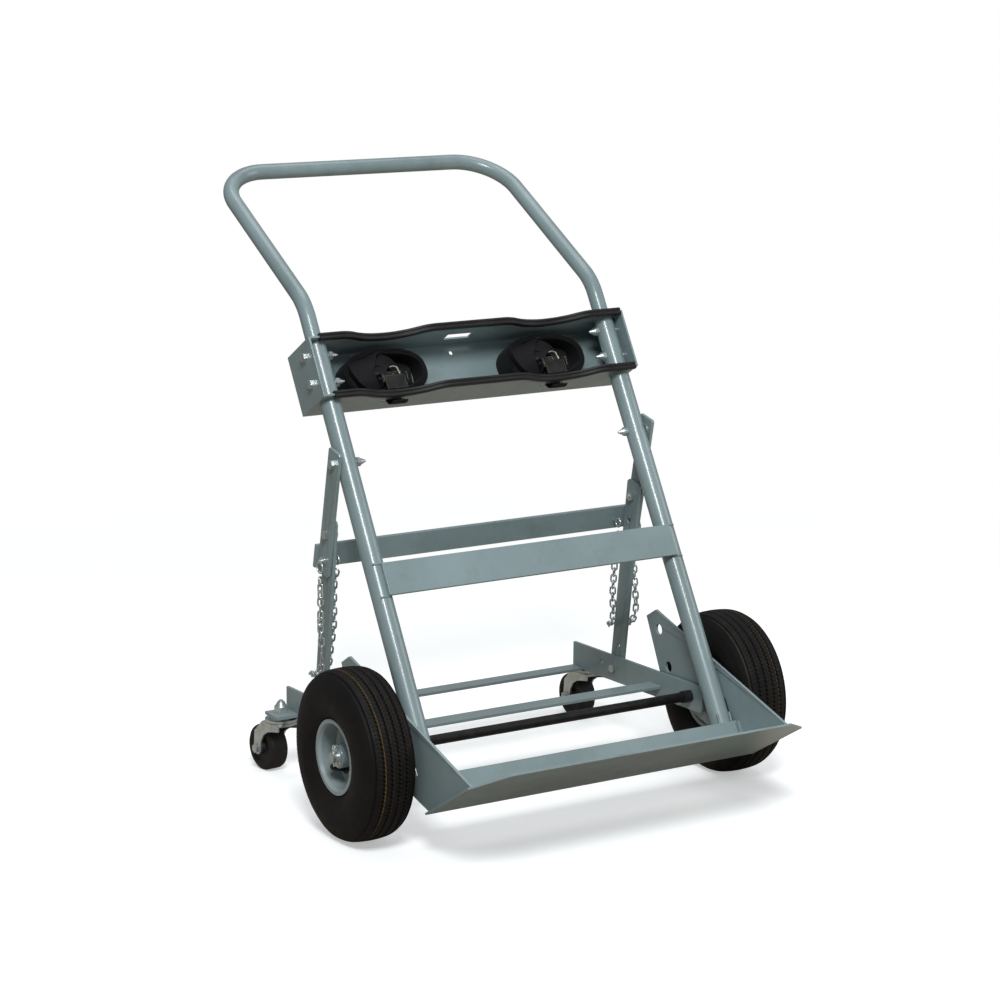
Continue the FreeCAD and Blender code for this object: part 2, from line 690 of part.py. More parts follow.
items = []
for side, sg, outward, inward in SIDES:
    g1 = arm_x + arm_t + 0.1
    items.append(tube((sg * g1, 0, axle_z), outward, 14, axle_d / 2 + 0.05, sp_x - 0.1 - g1))
    items.append(tube((sg * (wheel_x + hub_len / 2 + 0.1), 0, axle_z), outward, 15, axle_d / 2 + 0.05, 2.4))
node(axle_frame(group(items)), "axle_washers")

items = []
for side, sg, outward, inward in SIDES:
    leg = cyl((sg * pin_at, 0, axle_z - 14), "z", 1.7, 24.6)
    eye = torus((sg * pin_at, 0, axle_z + 14.5), "x", 3.6, 1.3)
    items.append(fuse([leg, eye]))
node(axle_frame(group(items)), "cotter_pins")

# ---------------------------------------------------------------- wheels
hw = tyre_w / 2
for side, sg, outward, inward in SIDES:
    turn = FreeCAD.Rotation() if sg > 0 else FreeCAD.Rotation(V(0, 0, 1), 180)

    def wheel_frame(obj):
        obj.Placement = FreeCAD.Placement(V(sg * wheel_x.value, axle_y.value, axle_z.value), turn)
        bind(obj, "Placement.Base.x", sg * wheel_x)
        bind(obj, "Placement.Base.y", axle_y)
        bind(obj, "Placement.Base.z", axle_z)
        return obj

    b = body("tyre_" + side)
    outer_pts = [(29.5, 51.3), (32.2, 52.6), (32.5, 57.2), (36.5, 61), (42.5, 72), (45.0, 86), (43.6, 101), (39.5, 114), (33.0, 123.5), (22.0, 128.4), (0, 130.0)]
    inner_pts = [(0, 121.5), (20, 120.2), (30.5, 114.5), (36.0, 104), (38.6, 90), (37.2, 75), (31.5, 64.5), (24.5, 59.5), (22.0, 51.3)]
    kx = tyre_w / 90.0
    kr = tyre_r / 130.0
    ring = [(kx * x, kr * r) for x, r in outer_pts]
    ring += [(-(kx * x), kr * r) for x, r in reversed(outer_pts[:-1])]
    ring += [(-(kx * x), kr * r) for x, r in reversed(inner_pts[1:])]
    ring += [(kx * x, kr * r) for x, r in inner_pts]
    revolve(b, [poly(ring)])
    wheel_frame(b)

    for part, flip in (("rim_outer_", 1.0), ("rim_inner_", -1.0)):
        b = body(part + side)
        prof = [(0.05, 17.8), (0.05, 43.6), (5.2, 50.4), (29.5, 51.0), (32.9, 52.6), (33.3, rim_r), (35.8, rim_r), (35.6, 51.4), (30.6, 48.6), (6.6, 47.9), (2.5, 42.6), (2.5, 17.8)]
        revolve(b, [poly([(flip * q(x), r) for x, r in prof])])
        for k in range(4):
            a = math.radians(90 * k)
            pocket(b, "YZ_Plane", 4.0 if flip > 0 else -4.0, [("circle", 32 * math.cos(a), 32 * math.sin(a), 4.1)], 8, reverse=(flip < 0))
        wheel_frame(b)

    hub = tube((-(hub_len / 2), 0, 0), "x", 17.5, 14.55, hub_len)
    bearings = [tube((p, 0, 0), "x", 14.5, axle_d / 2 + 0.03, 12) for p in (-(hub_len / 2), hub_len / 2 - 12)]
    node(wheel_frame(group([hub] + bearings)), "hub_" + side)

    # tyre valve on the outboard dish, leaning out and towards the axle
    b = body("valve_stem_" + side)
    revolve(b, [poly([(-2, 0), (-2, 1.8), (0, 1.8), (0, 6.2), (2.5, 6.2), (4.0, 4.4), (18, 3.9), (18.5, 4.8), (26, 4.6), (27.5, 3.2), (27.5, 0)])])
    at = V(sg * (wheel_x.value + 5.1), axle_y.value + 16.0, axle_z.value - 28.0)
    aim = V(sg * 26.0, 0, 9.0).normalize()
    b.Placement = FreeCAD.Placement(at, FreeCAD.Rotation(V(1, 0, 0), aim))

    items = []
    for k in range(4):
        a = math.radians(90 * k)
        y, z = 32 * math.cos(a), 32 * math.sin(a)
        bolt = fuse([hexagon((2.6, y, z), "x", hex_af, 5.0), cyl((3.0, y, z), "-x", bolt_d / 2, 14)])
        nut = cut(hexagon((-2.6, y, z), "-x", hex_af, 6.0), [cyl((-2.6, y, z), "-x", bolt_d / 2 + 0.03, 6)])
        items += [bolt, nut]
    node(wheel_frame(group(items)), "rim_bolts_" + side)

# ---------------------------------------------------------------- caster frame
for side, sg, outward, inward in SIDES:
    b = body("arm_" + side)
    r = arm_w / 2
    off = arm_x if sg > 0 else -arm_x - arm_t
    pad(b, "YZ_Plane", off, [[
        ("line", arm_len - 1, axle_z + 9.5), ("line", arm_len, axle_z - 34.5), ("line", -arm_nose + 8, axle_z - r),
        ("arc", -arm_nose + 2.343, axle_z - r + 2.343, 8, -arm_nose, axle_z - r + 8), ("line", -arm_nose, axle_z + r - 8),
        ("arc", -arm_nose + 2.343, axle_z + r - 2.343, 8, -arm_nose + 8, axle_z + r)],
        ("circle", 0, axle_z, axle_d / 2 + 0.05),
        ("circle", joint1_y, joint1_z, bolt_hole / 2),
        ("circle", 259.8, 124.8, bolt_hole / 2)], arm_t)
    axle_frame(b)

b = body("rear_crossmember")
pad(b, "YZ_Plane", -(arm_x - 0.05), [rect(arm_len - 29, 94.5, arm_len - 1, 99.5)], (arm_x - 0.05) * 2)
axle_frame(b)
b = body("mid_crossmember")
pad(b, "YZ_Plane", -(arm_x - 0.05), [rect(83, 121, 114, 126)], (arm_x - 0.05) * 2)
axle_frame(b)

items = []
for side, sg, outward, inward in SIDES:
    x0 = arm_x + arm_t + 0.05
    lo_x = x0 if sg > 0 else -(king_x + 20)
    plate = box((lo_x, king_y - 26, 98.5), (king_x + 20 - x0, 44, 5))
    items.append(cut(plate, [cyl((sg * king_x, king_y, 90), "z", king_d / 2 + 0.1, 20)]))
node(axle_frame(group(items)), "caster_mount_plates")

items = []
for side, sg, outward, inward in SIDES:
    kx0 = sg * king_x
    shank = cyl((kx0, king_y, fork_top - 9), "z", king_d / 2, 33)
    head = cyl((kx0, king_y, fork_top - 9), "z", 9.5, 3.8)
    items.append(fuse([shank, head]))
    nut = fuse([hexagon((kx0, king_y, 103.6), "z", 21, 10), cone((kx0, king_y, 113.6), "z", 9.6, 6.0, 7), cone((kx0, king_y, 120.6), "z", 6.0, 2.5, 3.4)])
    items.append(cut(nut, [cyl((kx0, king_y, 103.6), "z", king_d / 2 + 0.03, 11)]))
node(axle_frame(group(items)), "caster_kingpins")

items = []
for side, sg, outward, inward in SIDES:
    dish = cyl((sg * king_x, king_y, fork_top + 1.2), "z", 26, 94.2 - 1.2 - fork_top)
    neck = cyl((sg * king_x, king_y, 94.0), "z", 17.5, 4.45)
    items.append(cut(fuse([dish, neck]), [cyl((sg * king_x, king_y, fork_top), "z", king_d / 2 + 0.1, 12)]))
node(axle_frame(group(items)), "caster_top_races")

items = []
for side, sg, outward, inward in SIDES:
    at = (sg * (arm_x - 0.05), joint1_y, joint1_z)
    items.append(head_bolt(at, inward, -sg, arm_t + link_t + 0.4 + cap_k))
    nut_at = (sg * (low_x + link_t + 0.1), joint1_y, joint1_z)
    items.append(cut(hexagon(nut_at, outward, hex_af, cap_k), [cyl(nut_at, outward, bolt_d / 2 + 0.03, cap_k)]))
node(axle_frame(group(items)), "arm_link_bolts")

# ---------------------------------------------------------------- casters
def swivel_frame(obj, sg, turn, back=0.0, up=0.0):
    """Local origin on the kingpin line at floor height, turned about it; back is along the trail."""
    ang = math.radians(q(turn).value)
    back, up, turn = q(back), q(up), q(turn)
    obj.Placement = FreeCAD.Placement(
        V(sg * king_x.value - back.value * math.sin(ang), axle_y.value + king_y.value + back.value * math.cos(ang), up.value),
        FreeCAD.Rotation(V(0, 0, 1), turn.value))
    bind(obj, "Placement.Base.x", Q(obj.Placement.Base.x, "(%d * Dims.king_x - (%s) * sin(%s))" % (sg, back.text, turn.text)))
    bind(obj, "Placement.Base.y", Q(obj.Placement.Base.y, "(Dims.axle_y + Dims.king_y + (%s) * cos(%s))" % (back.text, turn.text)))
    bind(obj, "Placement.Base.z", up)
    return obj


for side, sg, outward, inward in SIDES:
    turn = turn_left if sg < 0 else q(0.0)
    pieces = [tube((0, 0, fork_top - 4), "z", 25, king_d / 2 + 0.05, 4)]
    for leg in (-1, 1):
        lb = doc.addObject("PartDesign::Body", uid("fork_leg"))
        x0 = fork_in if leg > 0 else -fork_in - fork_t
        pad(lb, "YZ_Plane", x0, [[
            ("line", 24, fork_top - 2), ("line", 47, 66), ("line", trail + 10, cw_r),
            ("arc", trail, cw_r - 10, ("cy", cw_r), trail - 10, cw_r), ("line", trail - 12, 52), ("line", trail - 20, 64),
            ("line", trail - 33, 72), ("line", -10, 76), ("line", -23, 78.5), ("line", -23, fork_top - 2)],
            ("circle", trail, cw_r, bolt_hole / 2)], fork_t)
        pieces.append(lb)
    # shoulders carry the legs out from the crown
    pieces.append(cut(box((-fork_in - fork_t, -22, fork_top - 4), (fork_in * 2 + fork_t * 2, 44, 3)), [cyl((0, 0, fork_top - 6), "z", king_d / 2 + 0.05, 8)]))
    node(swivel_frame(fuse(pieces), sg, turn), "caster_fork_" + side)

    x_out = fork_in + fork_t + 0.1
    bolt = fuse([hexagon((sg * x_out, trail, cw_r), outward, hex_af, 5), cyl((sg * x_out, trail, cw_r), inward, bolt_d / 2, x_out * 2 + 7)])
    nut = cut(hexagon((-sg * x_out, trail, cw_r), inward, hex_af, 6), [cyl((-sg * x_out, trail, cw_r), inward, bolt_d / 2 + 0.03, 6)])
    node(swivel_frame(group([bolt, nut]), sg, turn), "caster_axle_" + side)

    b = body("caster_wheel_" + side)
    w = cw_w / 2
    e = fork_in - 0.2
    revolve(b, [poly([(-e, bolt_d / 2 + 0.05), (e, bolt_d / 2 + 0.05), (e, 9), (12.0, 11), (12.0, 24), (w - 0.5, 27), (w, 30), (w - 0.6, 33.6), (w - 2.6, 36.2), (w - 6, cw_r),
                      (-(w - 6), cw_r), (-(w - 2.6), 36.2), (-(w - 0.6), 33.6), (-w, 30), (-(w - 0.5), 27), (-12.0, 24), (-12.0, 11), (-e, 9)])])
    swivel_frame(b, sg, turn, trail, cw_r)

# ---------------------------------------------------------------- links
# fold centres measured from the axle in Y
j3y = -rail_foot.value + joint3_s.value * math.sin(lean_r)
j3z = joint3_s.value * math.cos(lean_r)
J1 = V(0, joint1_y.value, joint1_z.value)
J2 = V(0, joint2_y.value, joint2_z.value)
J3 = V(0, j3y, j3z)
upper_dir = (J2 - J3).normalize()
upper_side = V(0, -upper_dir.z, upper_dir.y)
lower_dir = (J1 - J2).normalize()
upper_len = (J2 - J3).Length
lower_len = (J1 - J2).Length
upper_tilt = math.degrees(math.atan2(upper_dir.y, -upper_dir.z))
lower_tilt = math.degrees(math.atan2(lower_dir.y, -lower_dir.z))
PIN = J2 + upper_dir * pin_drop.value


def link_frame(obj, centre, angle):
    """Local -z runs down the link from the centre, local y is to the rear."""
    obj.Placement = FreeCAD.Placement(V(0, axle_y.value + centre.y, centre.z), FreeCAD.Rotation(V(1, 0, 0), angle))
    return obj


for side, sg, outward, inward in SIDES:
    b = body("upper_link_" + side)
    off = upp_x if sg > 0 else -upp_x - link_t
    h = link_w / 2
    pad(b, "YZ_Plane", off, [
        poly([(-h, 19), (-h + 2.5, 21.5), (h - 2.5, 21.5), (h, 19), (h, -(upper_len + 63)), (h - 3, -(upper_len + 66)), (-h + 3, -(upper_len + 66)), (-h, -(upper_len + 63))]),
        ("circle", 0, 0, pivot_hole / 2), ("circle", 0, -upper_len, bolt_hole / 2), ("circle", 0, -(upper_len + pin_drop.value), pin_hole / 2)], link_t)
    link_frame(b, J3, upper_tilt)

    b = body("lower_link_" + side)
    off = low_x if sg > 0 else -low_x - link_t
    rel = PIN - J2
    down = lower_dir
    rear = V(0, -down.z, down.y)
    pin_y, pin_z = rel.dot(rear), -rel.dot(down)
    pad(b, "YZ_Plane", off, [
        poly([(-h, 21), (-h + 4, 25), (h - 4, 25), (h, 21), (h, -(lower_len + 15)), (h - 4, -(lower_len + 19)), (-h + 4, -(lower_len + 19)), (-h, -(lower_len + 15))]),
        ("circle", 0, 0, bolt_hole / 2), ("circle", 0, -lower_len, pivot_hole / 2), ("circle", 0, -(lower_len - 40), bolt_hole / 2),
        ("circle", pin_y, pin_z, pin_hole / 2)], link_t)
    link_frame(b, J2, lower_tilt)

# rear crossbar on the rear edges of the upper links, level with the lock pins
b = body("rear_crossbar")
drop = upper_len + pin_drop.value
brace_x = dim("brace_x", 289.5, "rear crossbar half length")
pad(b, "YZ_Plane", -brace_x, [rect(link_w / 2 + 0.05, -(drop + brace_h / 2), link_w / 2 + 0.05 + brace_t, -(drop - brace_h / 2))], brace_x * 2)
link_frame(b, J3, upper_tilt)

items = []
for side, sg, outward, inward in SIDES:
    ay = link_w / 2 + 0.05
    shank = cyl((sg * 258.0, ay - 6, -(drop + 4)), "y", 2.5, 5.95)
    eye = torus((sg * 258.0, ay - 12.0, -(drop + 4)), "x", 6.5, 2.0)
    items.append(fuse([shank, eye]))
node(link_frame(group(items), J3, upper_tilt), "chain_anchors")

# knuckle: outer half of the bolt stays with the upper link, inner half with the lower link
items = []
for side, sg, outward, inward in SIDES:
    items.append(fuse([hexagon((sg * (upp_x + link_t + 0.05), 0, -upper_len), outward, hex_af, hex_k),
                       cyl((sg * (upp_x + link_t + 1.0), 0, -upper_len), inward, bolt_d / 2, link_t + 0.95)]))
node(link_frame(group(items), J3, upper_tilt), "knuckle_bolts")
items = []
for side, sg, outward, inward in SIDES:
    items.append(fuse([hexagon((sg * (low_x - 0.05), 0, 0), inward, hex_af, cap_k),
                       cyl((sg * (low_x - 1.0), 0, 0), outward, bolt_d / 2, link_t + 0.95),
                       cone((sg * (low_x - 0.05 - cap_k), 0, 0), inward, 4.0, 3.4, 2)]))
node(link_frame(group(items), J2, lower_tilt), "knuckle_nuts")

# lock pins with pull rings
for side, sg, outward, inward in SIDES:
    x0 = sg * (upp_x + link_t + 0.05)
    head = cyl((x0, 0, 0), outward, 7.0, 4.5)
    shank = cyl((x0, 0, 0), inward, pin_d / 2, link_t)
    ear = cyl((x0 + sg * 4.5, 0, 0), outward, 3.4, 4.0)
    ring = torus((x0 + sg * 6.6, 0, -9.5), "x", 9.0, 1.3)
    pin = node(fuse([head, shank, ear, ring]), "lock_pin_" + side)
    link_frame(pin, PIN, 0)

# ---------------------------------------------------------------- chains
# A hanging loop per side: outboard strand from the pin ring, round behind the
# lower link, inboard strand up to the crossbar anchor.
chain_wire = dim("chain_wire", 3.0, "chain wire diameter")
chain_long = dim("chain_long", 17.0, "chain link outside length")
chain_wide = dim("chain_wide", 11.5, "chain link outside width")


def chain_link(r, length, width):
    """One welded oval link along local z, in the local yz plane."""
    cr = width / 2 - r
    zc = length / 2 - r - cr
    p = [V(0, cr, -zc), V(0, cr, zc), V(0, 0, zc + cr), V(0, -cr, zc), V(0, -cr, -zc), V(0, 0, -zc - cr)]
    edges = [Part.makeLine(p[0], p[1]), Part.Arc(p[1], p[2], p[3]).toShape(), Part.makeLine(p[3], p[4]), Part.Arc(p[4], p[5], p[0]).toShape()]
    path = Part.Wire(edges)
    ring = Part.Wire(Part.makeCircle(r, p[0], V(0, 0, 1)))
    return path.makePipeShell([ring], True, True)


RUN = {
    "left": [(291.2, 189.5, 353), (291.4, 188, 320), (291.4, 189, 280), (291.0, 187, 245), (290.6, 187, 222), (290.2, 198, 201), (288.5, 222, 192), (277, 242, 190), (265.0, 231, 196), (261, 218, 225), (259, 210, 265), (258, 209, 300), (258, 207, 335), (258, 197.5, 360)],
    "right": [(291.2, 190.5, 353), (291.4, 198, 322), (291.4, 197, 285), (291.2, 192, 245), (290.8, 193, 220), (290.4, 205, 203), (288.5, 226, 196), (277, 242, 194), (265.5, 231, 197), (261.5, 217, 207), (259.5, 213, 245), (258.5, 208, 290), (258, 203, 335), (258, 197.5, 360)],
}
for side, sg, outward, inward in SIDES:
    pts = RUN[side]
    curve = Part.BSplineCurve()
    curve.interpolate([V(sg * x, y, z) for x, y, z in pts])
    pitch = chain_long.value - 2 * chain_wire.value - 0.35
    total = curve.length()
    n = int(total / pitch)
    step = total / n
    one = chain_link(chain_wire.value / 2, chain_long.value, chain_wide.value)
    links = []
    for i in range(n):
        u = curve.parameterAtDistance(step * (i + 0.5))
        c = curve.value(u)
        t = curve.tangent(u)[0]
        rot = FreeCAD.Rotation(V(0, 0, 1), t)
        roll = FreeCAD.Rotation(V(0, 0, 1), 45 + 90 * (i % 2))
        lk = one.copy()
        lk.Placement = FreeCAD.Placement(c + V(0, axle_y.value, 0), rot.multiply(roll))
        links.append(lk)
    f = doc.addObject("Part::Feature", "chain_" + side)
    f.Shape = Part.makeCompound(links)
    f.Placement = FreeCAD.Placement(V(0, 0, 0), FreeCAD.Rotation())
    node(f, "chain_" + side)

# ---------------------------------------------------------------- check and write
doc.recompute()
bad = []
for o in doc.Objects:
    if "Invalid" in o.State or "Error" in o.State:
        bad.append(o.Name + " " + ",".join(o.State))
for name, o in nodes.items():
    if o.Shape.isNull() or not o.Shape.isValid() or not o.Shape.Solids:
        bad.append(name + " has no valid shape")
if len(nodes) > 60:
    bad.append("%d nodes" % len(nodes))
if bad:
    raise SystemExit("\n".join(bad))
total = FreeCAD.BoundBox()
for name, o in nodes.items():
    o.Shape.exportStep("parts/%s.step" % name)
    total.add(o.Shape.BoundBox)
print("%d nodes, box X %.2f..%.2f Y %.2f..%.2f Z %.2f..%.2f" % (len(nodes), total.XMin, total.XMax, total.YMin, total.YMax, total.ZMin, total.ZMax))
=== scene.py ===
import math
import bmesh
import bpy
from mathutils import Matrix, Vector, noise


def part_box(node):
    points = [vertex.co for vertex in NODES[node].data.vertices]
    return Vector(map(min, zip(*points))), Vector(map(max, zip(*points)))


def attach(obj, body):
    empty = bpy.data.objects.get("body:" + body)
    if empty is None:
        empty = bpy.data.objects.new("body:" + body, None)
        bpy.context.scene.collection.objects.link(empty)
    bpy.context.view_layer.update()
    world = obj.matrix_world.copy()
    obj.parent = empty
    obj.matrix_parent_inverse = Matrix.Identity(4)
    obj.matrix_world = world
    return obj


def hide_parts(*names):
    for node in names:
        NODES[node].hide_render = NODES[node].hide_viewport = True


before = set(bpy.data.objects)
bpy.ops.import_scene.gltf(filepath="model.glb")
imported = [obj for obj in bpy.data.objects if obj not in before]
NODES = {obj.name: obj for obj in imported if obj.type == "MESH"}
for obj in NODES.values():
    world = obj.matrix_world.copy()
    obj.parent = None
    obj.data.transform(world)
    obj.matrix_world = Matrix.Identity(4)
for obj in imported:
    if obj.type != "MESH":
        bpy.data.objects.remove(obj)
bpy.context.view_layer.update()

# ------------------------------------------------------------ shared frame
LEAN = math.radians(30.53)
UP = Vector((0, math.sin(LEAN), math.cos(LEAN)))
FWD = Vector((0, -math.cos(LEAN), math.sin(LEAN)))


def mid(node):
    lo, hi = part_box(node)
    return (lo + hi) / 2


WHEEL = {s: mid("tyre_" + s) for s in ("left", "right")}
AXLE_Y = WHEEL["left"].y
FOOT = Vector((0, AXLE_Y - 0.1614, 0))


def rail(x, s, n):
    """x across, s up the rail from the floor, n ahead of the rail axis, in metres."""
    return FOOT + Vector((x, 0, 0)) + UP * s + FWD * n


# ------------------------------------------------------------ node material helpers
class Mat:
    def __init__(self, name):
        self.m = bpy.data.materials.new(name)
        self.m.use_nodes = True
        self.t = self.m.node_tree
        self.bsdf = self.t.nodes["Principled BSDF"]
        self.out = self.t.nodes["Material Output"]
        self.coord = self.t.nodes.new("ShaderNodeTexCoord").outputs["Object"]

    def new(self, kind, **props):
        n = self.t.nodes.new(kind)
        for k, v in props.items():
            if isinstance(v, bpy.types.NodeSocket):
                self.t.links.new(v, n.inputs[k])
            elif k in n.inputs:
                n.inputs[k].default_value = v
            else:
                setattr(n, k, v)
        return n

    def link(self, a, b):
        self.t.links.new(a, b)

    def mapping(self, scale=(1, 1, 1), rot=(0, 0, 0), loc=(0, 0, 0), vec=None):
        n = self.new("ShaderNodeMapping")
        n.inputs["Scale"].default_value = scale
        n.inputs["Rotation"].default_value = rot
        n.inputs["Location"].default_value = loc
        self.link(vec or self.coord, n.inputs["Vector"])
        return n.outputs[0]

    def noise(self, scale, detail=4, rough=0.55, vec=None):
        n = self.new("ShaderNodeTexNoise")
        n.inputs["Scale"].default_value = scale
        n.inputs["Detail"].default_value = detail
        n.inputs["Roughness"].default_value = rough
        self.link(vec or self.coord, n.inputs["Vector"])
        return n.outputs["Fac"]

    def ramp(self, fac, stops):
        n = self.new("ShaderNodeValToRGB")
        e = n.color_ramp.elements
        while len(e) < len(stops):
            e.new(0.5)
        for el, (p, c) in zip(e, stops):
            el.position = p
            el.color = c if len(c) == 4 else (*c, 1)
        self.link(fac, n.inputs["Fac"])
        return n.outputs["Color"]

    def rng(self, fac, a, b, lo=0.0, hi=1.0):
        n = self.new("ShaderNodeMapRange")
        n.inputs["From Min"].default_value = lo
        n.inputs["From Max"].default_value = hi
        n.inputs["To Min"].default_value = a
        n.inputs["To Max"].default_value = b
        self.link(fac, n.inputs["Value"])
        return n.outputs[0]

    def math(self, op, a, b=0.0):
        n = self.new("ShaderNodeMath", operation=op)
        for i, v in enumerate((a, b)):
            if isinstance(v, bpy.types.NodeSocket):
                self.link(v, n.inputs[i])
            else:
                n.inputs[i].default_value = v
        return n.outputs[0]

    def mix(self, fac, a, b, blend="MIX"):
        n = self.new("ShaderNodeMix", data_type="RGBA", blend_type=blend)
        for sock, v in ((n.inputs[0], fac), (n.inputs[6], a), (n.inputs[7], b)):
            if isinstance(v, bpy.types.NodeSocket):
                self.link(v, sock)
            elif isinstance(v, (int, float)):
                sock.default_value = v
            else:
                sock.default_value = (*v, 1) if len(v) == 3 else v
        return n.outputs[2]

    def bump(self, height, strength, dist, normal=None):
        n = self.new("ShaderNodeBump")
        n.inputs["Strength"].default_value = strength
        n.inputs["Distance"].default_value = dist
        self.link(height, n.inputs["Height"])
        if normal is not None:
            self.link(normal, n.inputs["Normal"])
        return n.outputs[0]

    def set(self, name, v):
        s = self.bsdf.inputs[name]
        if isinstance(v, bpy.types.NodeSocket):
            self.link(v, s)
        elif isinstance(v, tuple) and len(v) == 3:
            s.default_value = (*v, 1)
        else:
            s.default_value = v
        return self


def edge_mask(m, radius=0.0012):
    """1 on sharp outside edges, 0 on flats."""
    bev = m.new("ShaderNodeBevel", samples=4)
    bev.inputs["Radius"].default_value = radius
    geo = m.new("ShaderNodeNewGeometry")
    dot = m.new("ShaderNodeVectorMath", operation="DOT_PRODUCT")
    m.link(bev.outputs[0], dot.inputs[0])
    m.link(geo.outputs["Normal"], dot.inputs[1])
    return m.rng(dot.outputs["Value"], 1.0, 0.0, 0.80, 0.985)


def paint(name, base=(0.222, 0.290, 0.300), light=(0.285, 0.362, 0.375), dark=(0.150, 0.198, 0.202), bevel=True):
    m = Mat(name)
    broad = m.noise(5.0, 4)
    fine = m.noise(260.0, 3, 0.6)
    col = m.ramp(broad, [(0.3, dark), (0.5, base), (0.72, light)])
    col = m.mix(0.55, base, col)
    # dust and grime in random patches
    grime = m.noise(22.0, 6, 0.65)
    gmask = m.rng(grime, 0.0, 0.35, 0.52, 0.75)
    col = m.mix(gmask, col, (0.13, 0.145, 0.13))
    specks = m.new("ShaderNodeTexVoronoi", feature="F1")
    specks.inputs["Scale"].default_value = 90.0
    m.link(m.coord, specks.inputs["Vector"])
    sp = m.rng(specks.outputs["Distance"], 1.0, 0.0, 0.03, 0.075)
    pick = m.rng(m.noise(17.0, 2), 0.0, 1.0, 0.58, 0.66)
    col = m.mix(m.math("MULTIPLY", sp, pick), col, (0.08, 0.085, 0.075))
    if bevel:
        e = edge_mask(m)
        wear = m.math("MULTIPLY", e, m.rng(m.noise(70.0, 5, 0.7), 0.0, 1.0, 0.40, 0.62))
        col = m.mix(m.math("MULTIPLY", wear, 0.45), col, (0.50, 0.56, 0.55))
    m.set("Base Color", col)
    m.set("Roughness", m.rng(m.noise(35.0, 5), 0.30, 0.46))
    # painted highlight: low on the frame, faces that look up are painted paler in patches, standing in for light from
    # above
    geo = m.new("ShaderNodeNewGeometry")
    sep = m.new("ShaderNodeSeparateXYZ")
    m.link(geo.outputs["Normal"], sep.inputs[0])
    pos = m.new("ShaderNodeSeparateXYZ")
    m.link(geo.outputs["Position"], pos.inputs[0])
    low = m.rng(pos.outputs[2], 1.0, 0.0, 0.02, 0.34)
    up = m.rng(sep.outputs[2], 0.0, 1.0, 0.2, 0.9)
    painted_toplight = m.math("MULTIPLY", m.math("MULTIPLY", low, up), m.rng(m.noise(45.0, 6, 0.7), 0.1, 0.55, 0.42, 0.7))
    col = m.mix(painted_toplight, col, (0.36, 0.36, 0.32))
    m.set("Base Color", col)
    m.set("Coat Weight", 0.42)
    m.set("Coat Roughness", 0.12)
    m.set("Specular IOR Level", 0.5)
    h = m.math("ADD", m.math("MULTIPLY", m.noise(420.0, 2), 0.7), m.math("MULTIPLY", fine, 0.6))
    n = m.bump(h, 0.07, 0.00025)
    m.set("Normal", n)
    return m.m


def zinc(name, tint=(0.70, 0.755, 0.76), rough=(0.20, 0.38), yellow=0.0):
    m = Mat(name)
    a = m.noise(60.0, 5, 0.6)
    col = m.ramp(a, [(0.3, tuple(c * 0.72 for c in tint)), (0.6, tint)])
    if yellow:
        col = m.mix(m.rng(m.noise(25.0, 3), 0, yellow, 0.4, 0.7), col, (0.62, 0.52, 0.30))
    dirt = m.rng(m.noise(130.0, 6, 0.7), 0.0, 0.5, 0.55, 0.8)
    col = m.mix(dirt, col, (0.13, 0.14, 0.13))
    m.set("Base Color", col).set("Metallic", 0.88)
    m.set("Roughness", m.rng(m.noise(90.0, 4), rough[0], rough[1]))
    m.set("Normal", m.bump(m.noise(500.0, 3), 0.12, 0.0003))
    return m.m


def rubber(name, col=(0.012, 0.012, 0.013), rough=(0.45, 0.62), grain=600.0, strength=0.25):
    m = Mat(name)
    c = m.mix(m.rng(m.noise(30.0, 5), 0, 0.6, 0.4, 0.8), col, tuple(x * 2.6 + 0.006 for x in col))
    m.set("Base Color", c)
    m.set("Roughness", m.rng(m.noise(60.0, 4), rough[0], rough[1]))
    m.set("Specular IOR Level", 0.45)
    m.set("Normal", m.bump(m.noise(grain, 3), strength, 0.0004))
    return m.m


M_PAINT = paint("frame_paint_mat")
M_ZINC = zinc("zinc_mat")
M_RUBBER = rubber("edge_rubber_mat", (0.0042, 0.0038, 0.0042), (0.40, 0.58))
M_BLACK = rubber("black_steel_mat", (0.010, 0.010, 0.011), (0.28, 0.45), 300.0, 0.15)
M_TYRE = rubber("caster_tread_mat", (0.0055, 0.0045, 0.0042), (0.55, 0.75), 450.0, 0.4)


LINE_AT = 16.4


